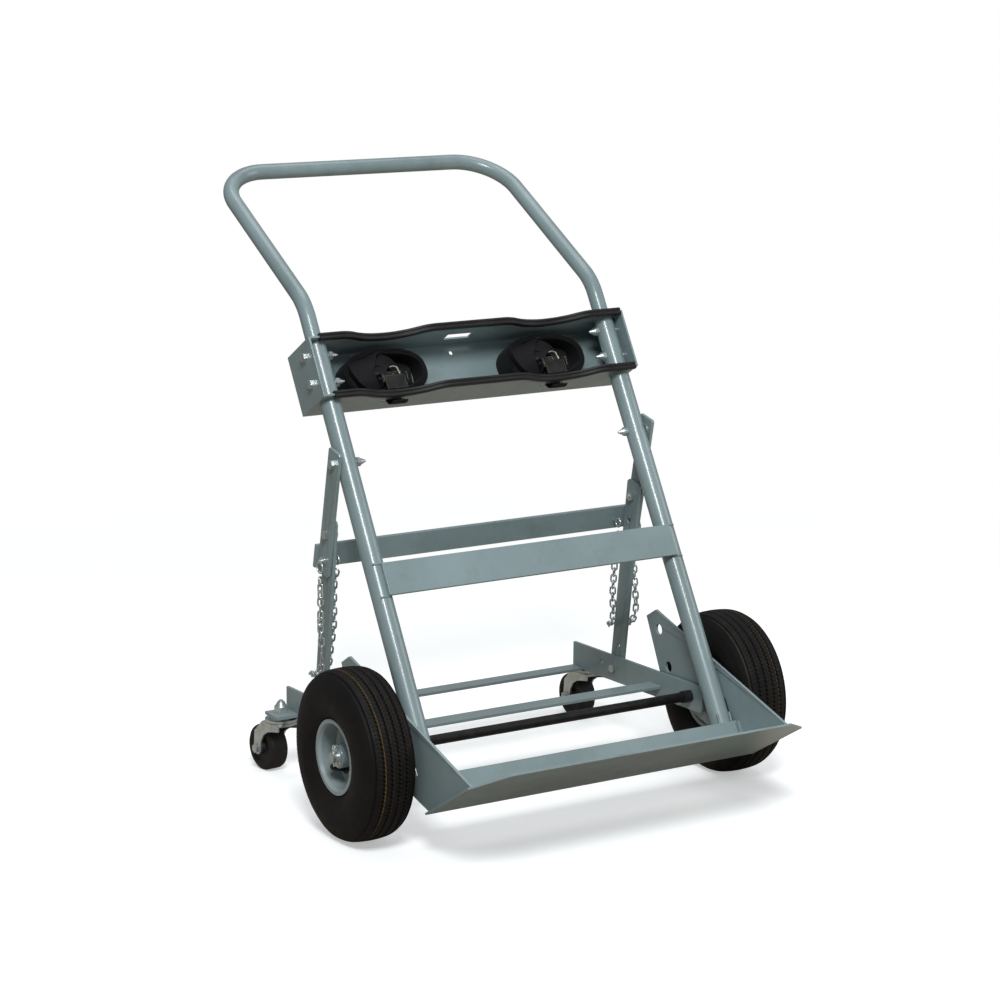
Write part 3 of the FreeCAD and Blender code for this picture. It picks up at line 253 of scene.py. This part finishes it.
def wheel_tyre(name, sg):
    """Moulded rubber; local X is the axle, with paint lines round the tread from the mill."""
    m = Mat(name)
    sep = m.new("ShaderNodeSeparateXYZ")
    m.link(m.coord, sep.inputs[0])
    x = m.math("MULTIPLY", sep.outputs[0], sg * 1000.0)
    r = m.math("MULTIPLY", m.math("SQRT", m.math("ADD", m.math("POWER", sep.outputs[1], 2.0), m.math("POWER", sep.outputs[2], 2.0))), 1000.0)
    broad = m.noise(12.0, 5, 0.6)
    col = m.ramp(broad, [(0.3, (0.0030, 0.0024, 0.0024)), (0.55, (0.0058, 0.0046, 0.0041)), (0.75, (0.0105, 0.0078, 0.0064))])
    dusty = m.rng(m.noise(60.0, 7, 0.72), 0.0, 0.5, 0.52, 0.78)
    tread = m.rng(r, 0.0, 1.0, 119.0, 126.0)
    col = m.mix(m.math("MULTIPLY", dusty, m.rng(tread, 0.35, 0.9)), col, (0.030, 0.0225, 0.0165))
    for at, width, amount in ((LINE_AT, 0.9, 0.68), (LINE_AT - 13.0, 0.7, 0.16), (-31.0, 0.8, 0.35)):
        d = m.math("ABSOLUTE", m.math("SUBTRACT", x, at))
        line = m.rng(d, 1.0, 0.0, width * 0.55, width)
        line = m.math("MULTIPLY", m.math("MULTIPLY", line, m.rng(r, 0.0, 1.0, 118.0, 120.5)), m.rng(m.noise(140.0, 4, 0.7), amount * 0.35, amount, 0.35, 0.6))
        col = m.mix(line, col, (0.17, 0.10, 0.030))
    m.set("Base Color", col)
    m.set("Roughness", m.rng(m.noise(70.0, 5), 0.52, 0.78))
    m.set("Specular IOR Level", 0.22)
    fine = m.bump(m.noise(700.0, 3), 0.3, 0.0003)
    rings = m.new("ShaderNodeTexWave", wave_type="BANDS", bands_direction="X")
    vec = m.new("ShaderNodeCombineXYZ")
    m.link(r, vec.inputs[0])
    m.link(vec.outputs[0], rings.inputs["Vector"])
    rings.inputs["Scale"].default_value = 0.22
    m.set("Normal", m.bump(rings.outputs["Fac"], 0.10, 0.0005, fine))
    return m.m


M_WHEEL = {"left": wheel_tyre("tyre_mat_left", -1), "right": wheel_tyre("tyre_mat_right", 1)}


def woven(name):
    """Black flat webbing: ribs across, fine herringbone, fuzzy sheen."""
    m = Mat(name)
    uv = m.new("ShaderNodeUVMap").outputs[0]
    col = m.ramp(m.noise(40.0, 5, 0.6), [(0.35, (0.0022, 0.0020, 0.0026)), (0.7, (0.0055, 0.0050, 0.0062))])
    ribs = m.new("ShaderNodeTexWave", wave_type="BANDS", bands_direction="Y", wave_profile="SIN")
    ribs.inputs["Scale"].default_value = 340.0 / 6.283
    ribs.inputs["Distortion"].default_value = 0.6
    m.link(uv, ribs.inputs["Vector"])
    warp = m.new("ShaderNodeTexWave", wave_type="BANDS", bands_direction="X", wave_profile="SIN")
    warp.inputs["Scale"].default_value = 620.0 / 6.283
    m.link(uv, warp.inputs["Vector"])
    weave = m.math("MULTIPLY", m.math("ADD", ribs.outputs["Fac"], warp.outputs["Fac"]), 0.5)
    col = m.mix(m.rng(weave, 0.0, 0.5), col, (0.0125, 0.0118, 0.0140))
    m.set("Base Color", col)
    m.set("Roughness", m.rng(weave, 0.72, 0.9))
    m.set("Sheen Weight", 0.06)
    m.set("Sheen Roughness", 0.4)
    m.set("Sheen Tint", (0.35, 0.35, 0.38))
    m.set("Specular IOR Level", 0.3)
    m.set("Normal", m.bump(weave, 0.55, 0.0007, m.bump(m.noise(900.0, 2), 0.2, 0.0002)))
    return m.m


M_WEB = woven("webbing_mat")


def axle_steel(name):
    """Black oxide between the plates, bare bright steel at the two ends."""
    m = Mat(name)
    sep = m.new("ShaderNodeSeparateXYZ")
    m.link(m.coord, sep.inputs[0])
    far = m.rng(m.math("ABSOLUTE", sep.outputs[0]), 0.0, 1.0, 0.3615, 0.3635)
    scale = m.rng(m.noise(55.0, 6, 0.7), 0.0, 1.0, 0.4, 0.72)
    black = m.mix(scale, (0.0065, 0.0062, 0.0066), (0.022, 0.019, 0.017))
    streak = m.noise(1.0, 4, 0.6, m.mapping((30, 900, 900)))
    bare = m.mix(streak, (0.42, 0.45, 0.46), (0.60, 0.64, 0.66))
    m.set("Base Color", m.mix(far, black, bare))
    m.set("Metallic", m.rng(far, 0.25, 0.9))
    m.set("Roughness", m.rng(m.noise(80.0, 4), 0.30, 0.50))
    m.set("Normal", m.bump(m.noise(380.0, 3), 0.15, 0.0003))
    return m.m


def worn_black(name):
    """Dark phosphate steel rubbed bright on its edges."""
    m = Mat(name)
    col = m.mix(m.rng(m.noise(70.0, 5, 0.65), 0.0, 1.0, 0.35, 0.7), (0.010, 0.010, 0.011), (0.035, 0.033, 0.030))
    e = m.math("MULTIPLY", edge_mask(m, 0.0009), m.rng(m.noise(150.0, 4, 0.7), 0.2, 1.0, 0.35, 0.6))
    col = m.mix(e, col, (0.62, 0.58, 0.50))
    m.set("Base Color", col)
    m.set("Metallic", m.rng(e, 0.35, 0.95))
    m.set("Roughness", 0.36)
    m.set("Normal", m.bump(m.noise(500.0, 3), 0.2, 0.0003))
    return m.m


M_AXLE = axle_steel("axle_mat")
M_LEVER = worn_black("buckle_lever_mat")
M_BRASS = zinc("buckle_mat", (0.66, 0.60, 0.48), (0.2, 0.38), 0.5)
M_RIM = paint("wheel_paint_mat", (0.27, 0.335, 0.35), (0.36, 0.43, 0.445), (0.18, 0.225, 0.235))

for name, o in NODES.items():
    mat = M_PAINT
    if name.startswith("bracket_trim"):
        mat = M_RUBBER
    elif name.startswith("strap"):
        mat = M_WEB
    elif name.startswith("tyre"):
        mat = M_WHEEL[name[5:]]
    elif name.startswith("rim_outer") or name.startswith("rim_inner"):
        mat = M_RIM
    elif name.startswith("buckle_lever"):
        mat = M_LEVER
    elif name.startswith("buckle"):
        mat = M_LEVER
    elif name == "axle":
        mat = M_AXLE
    elif name.startswith("hub_"):
        mat = M_RIM
    elif name == "axle" or name.startswith("axle_spacers"):
        mat = M_BLACK
    elif name.startswith("valve"):
        mat = M_RUBBER
    elif name.startswith("caster_wheel"):
        mat = M_TYRE
    elif name.startswith(("bracket_bolts", "link_pivot", "axle_washers", "cotter", "caster_kingpins", "caster_top_races", "arm_link", "chain", "knuckle", "lock_pin", "caster_fork", "caster_axle", "rim_bolts", "hub_", "buckle")):
        mat = M_ZINC
    o.data.materials.clear()
    o.data.materials.append(mat)

# ------------------------------------------------------------ mesh helpers
def smooth(points, per):
    """Catmull-Rom through open 2-D points, per steps a span."""
    out = []
    n = len(points)
    for i in range(n - 1):
        p0 = points[max(i - 1, 0)]
        p1, p2 = points[i], points[i + 1]
        p3 = points[min(i + 2, n - 1)]
        for k in range(per):
            t = k / per
            out.append(tuple(0.5 * (2 * b + (c - a) * t + (2 * a - 5 * b + 4 * c - d) * t * t + (3 * b - a - 3 * c + d) * t ** 3) for a, b, c, d in zip(p0, p1, p2, p3)))
    out.append(tuple(points[-1]))
    return out


def mesh_object(name, verts, faces, mat, body, smooth_angle=None, loc=(0, 0, 0)):
    me = bpy.data.meshes.new(name)
    me.from_pydata([tuple(v) for v in verts], [], faces)
    me.validate()
    bm = bmesh.new()
    bm.from_mesh(me)
    bmesh.ops.recalc_face_normals(bm, faces=bm.faces)
    bm.to_mesh(me)
    bm.free()
    o = bpy.data.objects.new(name, me)
    bpy.context.scene.collection.objects.link(o)
    o.location = loc
    me.materials.append(mat)
    if smooth_angle is None:
        me.shade_smooth()
    else:
        me.shade_smooth()
        me.set_sharp_from_angle(angle=math.radians(smooth_angle))
    if body:
        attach(o, body)
    return o


def grid_faces(rows, cols, wrap_rows=False, wrap_cols=False):
    faces = []
    for i in range(rows if wrap_rows else rows - 1):
        for j in range(cols if wrap_cols else cols - 1):
            a, b = i, (i + 1) % rows
            c, d = j, (j + 1) % cols
            faces.append((a * cols + c, a * cols + d, b * cols + d, b * cols + c))
    return faces


# ------------------------------------------------------------ tyres
TREAD_GROOVES = ((-31.0, 2.6, 2.6, 0.0), (-18.5, 2.4, 3.0, 1.25), (-6.2, 2.4, 3.2, 1.25), (6.2, 2.4, 3.2, 1.25), (18.5, 2.4, 3.0, 1.25), (31.0, 2.6, 2.6, 0.0))
TEETH = 120


def tyre(side):
    sg = -1 if side == "left" else 1
    outer = [(29.5, 51.3), (32.2, 52.6), (32.7, 57.0), (36.5, 61), (41.3, 69), (44.2, 79), (45.0, 88), (44.2, 98), (42.0, 107), (39.0, 114.5), (36.2, 119.6), (33.5, 123.4), (28.0, 126.6), (22.0, 128.4), (11, 129.6), (0, 130.0)]
    half = smooth(outer, 6)
    # finer rings across the tread so that grooves have walls
    tread = [p for p in half if p[0] >= 34.5 or p[1] < 118]
    crown = [p for p in half if not (p[0] >= 34.5 or p[1] < 118)]
    xs = [34.5 - 0.55 * i for i in range(int(34.5 / 0.55) + 1)]

    def crown_r(x):
        pts = crown
        for a, b in zip(pts, pts[1:]):
            if b[0] <= x <= a[0]:
                t = (a[0] - x) / max(a[0] - b[0], 1e-6)
                return a[1] + (b[1] - a[1]) * t
        return pts[0][1] if x > pts[0][0] else pts[-1][1]

    right = tread + [(x, crown_r(x)) for x in xs]
    prof = [(-x, r) for x, r in right] + [(x, r) for x, r in reversed(right)]
    inner = smooth([(29.5, 51.3), (22.0, 51.6), (24.5, 58.5), (31.5, 64.5), (37.2, 75), (38.6, 90), (36.0, 104), (30.5, 114.5), (20, 120.2), (0, 121.5)], 3)
    ring_in = [(x, r) for x, r in inner[1:]] + [(-x, r) for x, r in reversed(inner[1:-1])]
    ring = prof + ring_in
    n_out = len(prof)
    seg = TEETH * 6
    verts = []
    for k in range(seg):
        a = 2 * math.pi * k / seg
        ph = (k % 6) / 6.0
        ca, sa = math.cos(a), math.sin(a)
        # saw wave: quick out, slow back
        saw = (ph / 0.5 if ph < 0.5 else (1 - ph) / 0.5) * 2 - 1
        for i, (x, r) in enumerate(ring):
            rr = r
            xx = x
            if i < n_out:
                if abs(x) < 34.6 and r > 118:
                    for gx, w, depth, zig in TREAD_GROOVES:
                        d = abs(x - (gx + zig * saw)) - w / 2
                        if d < 0.45:
                            rr = min(rr, r - depth * min(1.0, max(0.0, (0.45 - d) / 0.9)))
                    # short sipes in the middle of each rib
                    for rx in (-12.35, 0.0, 12.35, -24.7, 24.7):
                        if abs(x - rx) < 3.0 and k % 6 == 3:
                            rr -= 1.0 * max(0.0, 1 - abs(x - rx) / 3.0)
                elif 106.5 < r < 121.5:
                    # shoulder lugs
                    lug = max(0.0, 1 - abs(r - 116.0) / 5.2) ** 0.6
                    on = 1.0 if (k % 6) in (1, 2, 3) else 0.0
                    rr = r + 0.0
                    xx = x + math.copysign(0.75 * lug * (on - 0.6), x)
                # sidewall rings
                if 60 < r < 112:
                    for rc, hgt in ((63.5, 0.55), (68.0, 0.35), (103.5, 0.5), (106.0, 0.35)):
                        xx += math.copysign(hgt * max(0.0, 1 - abs(r - rc) / 1.1), x)
            verts.append((sg * xx * 0.001, rr * sa * 0.001, rr * ca * 0.001))
    faces = grid_faces(seg, len(ring), True, True)
    o = mesh_object("tyre_moulded_" + side, verts, faces, M_WHEEL[side], None, 38, WHEEL[side])
    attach(o, "wheel_" + side)
    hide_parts("tyre_" + side)
    return o


for side in ("left", "right"):
    tyre(side)

# ------------------------------------------------------------ soft edges on the plate work
for name in ("cylinder_bracket", "nose_plate", "side_plate_left", "side_plate_right", "front_crossbar", "rear_crossbar", "rear_crossmember",
             "mid_crossmember", "arm_left", "arm_right", "upper_link_left", "upper_link_right", "lower_link_left", "lower_link_right",
             "caster_mount_plates", "caster_fork_left", "caster_fork_right"):
    o = NODES[name]
    weld = o.modifiers.new("weld", "WELD")
    weld.merge_threshold = 0.00002
    bev = o.modifiers.new("edge", "BEVEL")
    bev.width = 0.0006
    bev.segments = 2
    bev.limit_method = "ANGLE"
    bev.angle_limit = math.radians(40)
    bev.use_clamp_overlap = True
    bev.harden_normals = False

# ------------------------------------------------------------ edge trim on the bracket
BR_LO, BR_HI, BR_T, BR_FRONT = 0.722, 0.820, 0.003, 0.028


def wave_n(x):
    """How far the flange edge stands ahead of the rail axis at x."""
    u = abs(abs(x) - 0.145)
    if u <= 0.05747:
        return 0.126 - math.sqrt(0.0144 - u * u)
    if u < 0.08620:
        return -0.032 + math.sqrt(0.0036 - (0.08620 - u) ** 2)
    return BR_FRONT


# n ahead of the sheet edge, s off the sheet middle: a split bead over a grip channel
TRIM = [(-6.0, 1.7), (-6.0, 4.4), (-4.6, 5.6), (-1.5, 5.9), (1.2, 5.6), (2.7, 4.3), (3.15, 2.6), (2.5, 1.3), (1.7, 0.6),
        (1.7, -0.6), (2.5, -1.3), (3.15, -2.6), (2.7, -4.3), (1.2, -5.6), (-1.5, -5.9), (-4.6, -5.6), (-6.0, -4.4), (-6.0, -1.7),
        (-1.2, -1.6), (-0.6, -1.0), (-0.6, 1.0), (-1.2, 1.6)]


def trim(name, mid_s, x0, x1):
    ring = smooth(TRIM + [TRIM[0]], 3)[:-1]
    ring = [(max(-6.1, min(3.2, a)), max(-5.75, min(5.75, b))) for a, b in ring]
    count = int((x1 - x0) / 0.003)
    verts = []
    for i in range(count + 1):
        x = x0 + (x1 - x0) * i / count
        dn = (wave_n(x + 0.0005) - wave_n(x - 0.0005)) / 0.001
        tangent = Vector((1, dn)).normalized()
        out = Vector((-tangent.y, tangent.x))
        wob = 0.12 * noise.noise(Vector((x * 60, mid_s * 40, 0)))
        for a, b in ring:
            verts.append(rail(x + out.x * a * 0.001, mid_s + (b + wob) * 0.001, wave_n(x) + out.y * a * 0.001))
    k = len(ring)
    faces = grid_faces(count + 1, k, False, True)
    faces.append(tuple(range(k)))
    faces.append(tuple(count * k + j for j in reversed(range(k))))
    o = mesh_object("edge_bead_" + name, verts, faces, M_RUBBER, "frame", 50)
    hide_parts("bracket_trim_" + name)


trim("upper", BR_HI - BR_T / 2, -0.2655, 0.2795)
trim("lower", BR_LO + BR_T / 2, -0.2655, 0.2785)


# ------------------------------------------------------------ stowed straps
def ribbon(path, across, width, thick, seed=0.0, wave=0.0):
    """Flat webbing: path and across are lists of Vectors in (x, s, n) mm. Returns verts, faces and UVs per vertex."""
    half = width / 2
    verts, uvs = [], []
    length = 0.0
    n = len(path)
    for i in range(n):
        a = path[max(i - 1, 0)]
        b = path[min(i + 1, n - 1)]
        if i:
            length += (path[i] - path[i - 1]).length
        t = (b - a).normalized()
        w = across[i] - t * across[i].dot(t)
        w.normalize()
        up = t.cross(w)
        wob = wave * noise.noise(Vector((length * 0.045, seed, 0.3)))
        prof = []
        steps = 8
        for j in range(steps + 1):
            v = -half + width * j / steps
            prof.append((v, thick / 2 * (0.55 if j in (0, steps) else 1.0)))
        for j in range(steps, -1, -1):
            v = -half + width * j / steps
            prof.append((v, -thick / 2 * (0.55 if j in (0, steps) else 1.0)))
        for v, h in prof:
            q = path[i] + w * (v + wob) + up * h
            verts.append(rail(q.x * 0.001, q.y * 0.001, q.z * 0.001))
            uvs.append((v * 0.001, length * 0.001))
    k = 18
    faces = grid_faces(n, k, False, True)
    faces.append(tuple(range(k)))
    faces.append(tuple((n - 1) * k + j for j in reversed(range(k))))
    return verts, faces, uvs


def join_parts(name, parts, mat, body, angle, replaced):
    verts, faces, uvs = [], [], []
    for v, f, u in parts:
        base = len(verts)
        verts += v
        faces += [tuple(i + base for i in q) for q in f]
        uvs += u
    o = mesh_object(name, verts, faces, mat, body, angle)
    layer = o.data.uv_layers.new(name="weave")
    for loop in o.data.loops:
        layer.data[loop.index].uv = uvs[loop.vertex_index]
    if replaced:
        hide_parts(replaced)
    return o


def spline(points, per):
    return [Vector(p) for p in smooth([tuple(p) for p in points], per)]


def strap(side):
    sg = -1 if side == "left" else 1
    c = sg * 145.0
    mid_s = 722 + 3 + 0.4 + 41.5
    fwd = Vector((0, 0, 1))
    parts = []
    # rolled turns, outermost first
    path = []
    turns, per = 4.2, 72
    for i in range(int(turns * per) + 1):
        th = -math.pi / 2 + 2 * math.pi * i / per
        k = i / per
        a = 72.6 - 2.35 * k + 0.8 * noise.noise(Vector((math.cos(th) * 1.5, math.sin(th) * 1.5, k * 0.8 + sg)))
        b = 40.2 - 2.35 * k + 0.6 * noise.noise(Vector((math.cos(th) * 1.5 + 5, math.sin(th) * 1.5, k * 0.8 + sg)))
        ct, st = math.cos(th), math.sin(th)
        e = 2 / 2.35
        path.append(Vector((c + a * math.copysign(abs(ct) ** e, ct), mid_s + b * math.copysign(abs(st) ** e, st), -33.5 + 1.1 * noise.noise(Vector((k * 1.7, sg, 2))))))
    parts.append(ribbon(path, [fwd] * len(path), 38, 1.9, sg, 1.2))
    # loose folds that close the near half of the roll
    folds = [
        ([(-58, 22, -24), (-63, 4, -17), (-55, -17, -16), (-38, -31, -22)], 34, (-0.25, 0.1, 1.0), 3.0),
        ([(-30, -33, -20), (-42, -16, -13.5), (-44, 6, -12.5), (-33, 24, -16), (-16, 33, -25)], 40, (1.0, 0.25, 0.18), 1.0),
        ([(-22, -35, -24), (-22, -18, -17), (-20, 0, -15), (-10, 17, -17), (8, 27, -24)], 36, (0.92, -0.35, 0.25), 5.0),
        ([(-62, -8, -30), (-46, 14, -21), (-20, 22, -16), (6, 17, -17), (24, 5, -25), (30, -14, -33)], 24, (0.25, 0.9, -0.25), 7.0),
    ]
    for pts, width, ac, seed in folds:
        pts = [(c + x, mid_s + y, z) for x, y, z in pts]
        line = spline(pts, 10)
        acv = Vector(ac).normalized()
        parts.append(ribbon(line, [acv] * len(line), width, 1.9, seed + sg, 0.8))
    # layers lying along the back of the bay
    for y, z, wd in ((17, -48.5, 30), (-16, -48.0, 30), (1, -45.5, 26)):
        line = spline([(c - 56, mid_s + y * 0.7, z + 2), (c - 25, mid_s + y, z), (c + 15, mid_s + y, z + 0.6), (c + 57, mid_s + y * 0.7, z + 3)], 8)
        parts.append(ribbon(line, [Vector((0, 1, 0.06))] * len(line), wd, 1.9, z, 0.6))
    # tail through the slot in the lower flange
    tail = spline([(c + 3, 742, -20), (c + 3, 730, -20), (c + 3, 720, -19.5), (c + 3, 714, -14), (c + 3, 711.5, -6), (c + 3, 713.5, 1.0)], 7)
    parts.append(ribbon(tail, [Vector((1, 0, 0))] * len(tail), 27, 1.9, 9.0, 0.0))
    join_parts("strap_roll_" + side, parts, M_WEB, "frame", 60, "strap_" + side)


def wire(points, r, ring=10):
    """Round wire through points in (x, s, n) mm, ends closed."""
    line = spline(points, 6)
    verts = []
    for i, q in enumerate(line):
        t = (line[min(i + 1, len(line) - 1)] - line[max(i - 1, 0)]).normalized()
        ref = Vector((0, 0, 1)) if abs(t.z) < 0.9 else Vector((0, 1, 0))
        a = t.cross(ref).normalized()
        b = t.cross(a)
        for j in range(ring):
            th = 2 * math.pi * j / ring
            w = q + a * (math.cos(th) * r) + b * (math.sin(th) * r)
            verts.append(rail(w.x * 0.001, w.y * 0.001, w.z * 0.001))
    faces = grid_faces(len(line), ring, False, True)
    faces.append(tuple(range(ring)))
    faces.append(tuple((len(line) - 1) * ring + j for j in reversed(range(ring))))
    return verts, faces, [(0.0, 0.0)] * len(verts)


def buckle_wires(side):
    """Bent tension bar and coiled cam spring in front of each cam buckle."""
    c = -143.0 if side == "left" else 147.0
    parts = [
        wire([(c + 15.5, 772, -11), (c + 16.0, 764, -8.5), (c + 17.0, 755, -7.0), (c + 18.2, 746, -7.0), (c + 19.6, 742.5, -7.4), (c + 24.0, 742.0, -8.2)], 1.7),
        wire([(c + 15.5, 772, -11), (c + 10.0, 774.5, -12), (c + 4.0, 773.5, -13)], 1.3),
    ]
    coil = []
    for i in range(49):
        th = i / 48 * 2 * math.pi * 4.5
        coil.append((c - 20.0 + i / 48 * 26.0, 752.5 + 5.2 * math.sin(th) + 3.0 * i / 48, -7.6 + 2.4 * math.cos(th)))
    parts.append(wire(coil, 1.05, 8))
    join_parts("buckle_wire_" + side, parts, M_BRASS, "frame", 60, None)


for side in ("left", "right"):
    strap(side)
    buckle_wires(side)


# ------------------------------------------------------------ weld beads
def bead(name, lines, width, mat, body):
    """Fillet weld along each line; a line is (start, end, out) in the row frame, out points away from the joint."""
    verts, faces = [], []
    ring = 8
    for start, end, out in lines:
        start, end, out = Vector(start), Vector(end), Vector(out).normalized()
        t = (end - start)
        length = t.length
        t.normalize()
        side = t.cross(out).normalized()
        n = max(4, int(length / 0.0009))
        base = len(verts)
        for i in range(n + 1):
            u = i / n
            taper = min(1.0, min(u, 1 - u) * length / 0.0022 + 0.25)
            ripple = 0.88 + 0.12 * abs(math.sin(u * length / 0.0026 * math.pi)) + 0.10 * noise.noise(Vector((u * length * 240, start.x * 30, start.z * 30)))
            r = width / 2 * taper * ripple
            for j in range(ring):
                th = 2 * math.pi * j / ring
                verts.append(start + t * (u * length) + side * (math.cos(th) * r) + out * (math.sin(th) * r * 0.8))
        faces += [tuple(i + base for i in q) for q in grid_faces(n + 1, ring, False, True)]
        faces.append(tuple(base + j for j in range(ring)))
        faces.append(tuple(base + n * ring + j for j in reversed(range(ring))))
    o = mesh_object(name, verts, faces, mat, body, 70)
    return o


M_BEAD = paint("weld_paint_mat", (0.19, 0.25, 0.255), (0.25, 0.32, 0.325), (0.12, 0.16, 0.16), False)
lines = []
RX = 0.2617
for sg in (-1, 1):
    x = sg * RX
    # rail feet on the nose flange
    for dx in (-0.0112, 0.0112):
        lines.append((rail(x + dx, 0.086, 0.0135), rail(x + dx, 0.142, 0.0135), FWD + Vector((math.copysign(1, dx), 0, 0))))
    # crossbar to rails
    lo_s, hi_s = (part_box("front_crossbar")[0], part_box("front_crossbar")[1])
fb = NODES["front_crossbar"]
ss = [((fb.matrix_world @ v.co) - FOOT).dot(UP) for v in fb.data.vertices]
bar_lo, bar_hi = min(ss), max(ss)
for sg in (-1, 1):
    x = sg * RX
    lines.append((rail(x - 0.010, bar_hi + 0.0006, 0.0150), rail(x + 0.010, bar_hi + 0.0006, 0.0150), UP + FWD * 0.6))
    lines.append((rail(x - 0.010, bar_lo - 0.0006, 0.0150), rail(x + 0.010, bar_lo - 0.0006, 0.0150), -UP + FWD * 0.6))
bead("weld_beads_frame", lines, 0.0042, M_BEAD, "frame")

# ------------------------------------------------------------ stage
bpy.ops.mesh.primitive_plane_add(size=40, location=(0, 0, 0))
floor = bpy.context.object
floor.name = "floor"
fm = Mat("floor_mat")
fm.set("Base Color", fm.mix(fm.rng(fm.noise(1.5, 3), 0, 0.5), (0.90, 0.90, 0.895), (0.86, 0.86, 0.855)))
fm.set("Roughness", 0.75)
# the camera sees the pale floor; what the cart sees of it is a dim, warm bounce
paths = fm.new("ShaderNodeLightPath")
dull = fm.new("ShaderNodeBsdfDiffuse")
dull.inputs["Color"].default_value = (0.46, 0.41, 0.345, 1)
lift = fm.new("ShaderNodeEmission")
lift.inputs["Color"].default_value = (1, 1, 1, 1)
lift.inputs["Strength"].default_value = 0.42
add = fm.new("ShaderNodeAddShader")
fm.link(fm.bsdf.outputs[0], add.inputs[0])
fm.link(lift.outputs[0], add.inputs[1])
pick = fm.new("ShaderNodeMixShader")
fm.link(paths.outputs["Is Camera Ray"], pick.inputs[0])
fm.link(dull.outputs[0], pick.inputs[1])
far = fm.new("ShaderNodeEmission")
far.inputs["Color"].default_value = (1, 1, 1, 1)
far.inputs["Strength"].default_value = 1.0
reach = fm.new("ShaderNodeVectorMath", operation="LENGTH")
fm.link(fm.coord, reach.inputs[0])
fade = fm.new("ShaderNodeMixShader")
fm.link(fm.rng(reach.outputs["Value"], 0.0, 1.0, 0.75, 2.2), fade.inputs[0])
fm.link(add.outputs[0], fade.inputs[1])
fm.link(far.outputs[0], fade.inputs[2])
fm.link(fade.outputs[0], pick.inputs[2])
fm.link(pick.outputs[0], fm.out.inputs["Surface"])
floor.data.materials.append(fm.m)

world = bpy.data.worlds.new("studio")
bpy.context.scene.world = world
world.use_nodes = True
wt = world.node_tree
bg = wt.nodes["Background"]
bg.inputs["Color"].default_value = (1.0, 1.0, 1.0, 1)
bg.inputs["Strength"].default_value = 1.0
room = wt.nodes.new("ShaderNodeBackground")
room.inputs["Color"].default_value = (0.78, 0.86, 0.92, 1)
room.inputs["Strength"].default_value = 0.30
lp = wt.nodes.new("ShaderNodeLightPath")
mx = wt.nodes.new("ShaderNodeMixShader")
wt.links.new(lp.outputs["Is Camera Ray"], mx.inputs[0])
wt.links.new(room.outputs[0], mx.inputs[1])
wt.links.new(bg.outputs[0], mx.inputs[2])
wt.links.new(mx.outputs[0], wt.nodes["World Output"].inputs["Surface"])
bpy.context.scene.view_settings.view_transform = "Standard"


def area(name, loc, target, size, power, color=(1, 1, 1)):
    d = bpy.data.lights.new(name, "AREA")
    d.shape = "RECTANGLE"
    d.size, d.size_y = size
    d.energy = power
    d.color = color
    o = bpy.data.objects.new(name, d)
    bpy.context.scene.collection.objects.link(o)
    o.location = loc
    o.rotation_euler = (Vector(target) - Vector(loc)).to_track_quat("-Z", "Y").to_euler()
    return o


area("key", (-1.6, -2.9, 3.6), (0, 0, 0.4), (1.2, 1.2), 145, (0.96, 0.99, 1.0))
area("fill", (3.0, -1.6, 1.7), (0, 0, 0.4), (1.4, 1.8), 22)
area("top", (0.3, 0.6, 3.6), (0, 0, 0.4), (2.2, 2.2), 30)

# ------------------------------------------------------------ camera
AZ, EL, DIST = math.radians(-30.71), math.radians(12.17), 4.08633
target = Vector((-0.08301, AXLE_Y, 0.48027))
back = Vector((math.sin(AZ) * math.cos(EL), -math.cos(AZ) * math.cos(EL), math.sin(EL)))
cam_data = bpy.data.cameras.new("camera")
cam = bpy.data.objects.new("camera", cam_data)
bpy.context.scene.collection.objects.link(cam)
cam.location = target + back * DIST
cam.rotation_euler = back.to_track_quat("Z", "Y").to_euler()
cam_data.sensor_width = 36.0
cam_data.lens = 2720.9 / 1000 * 36.0
cam_data.shift_y = 0.00469
cam_data.clip_end = 60
bpy.context.scene.camera = cam
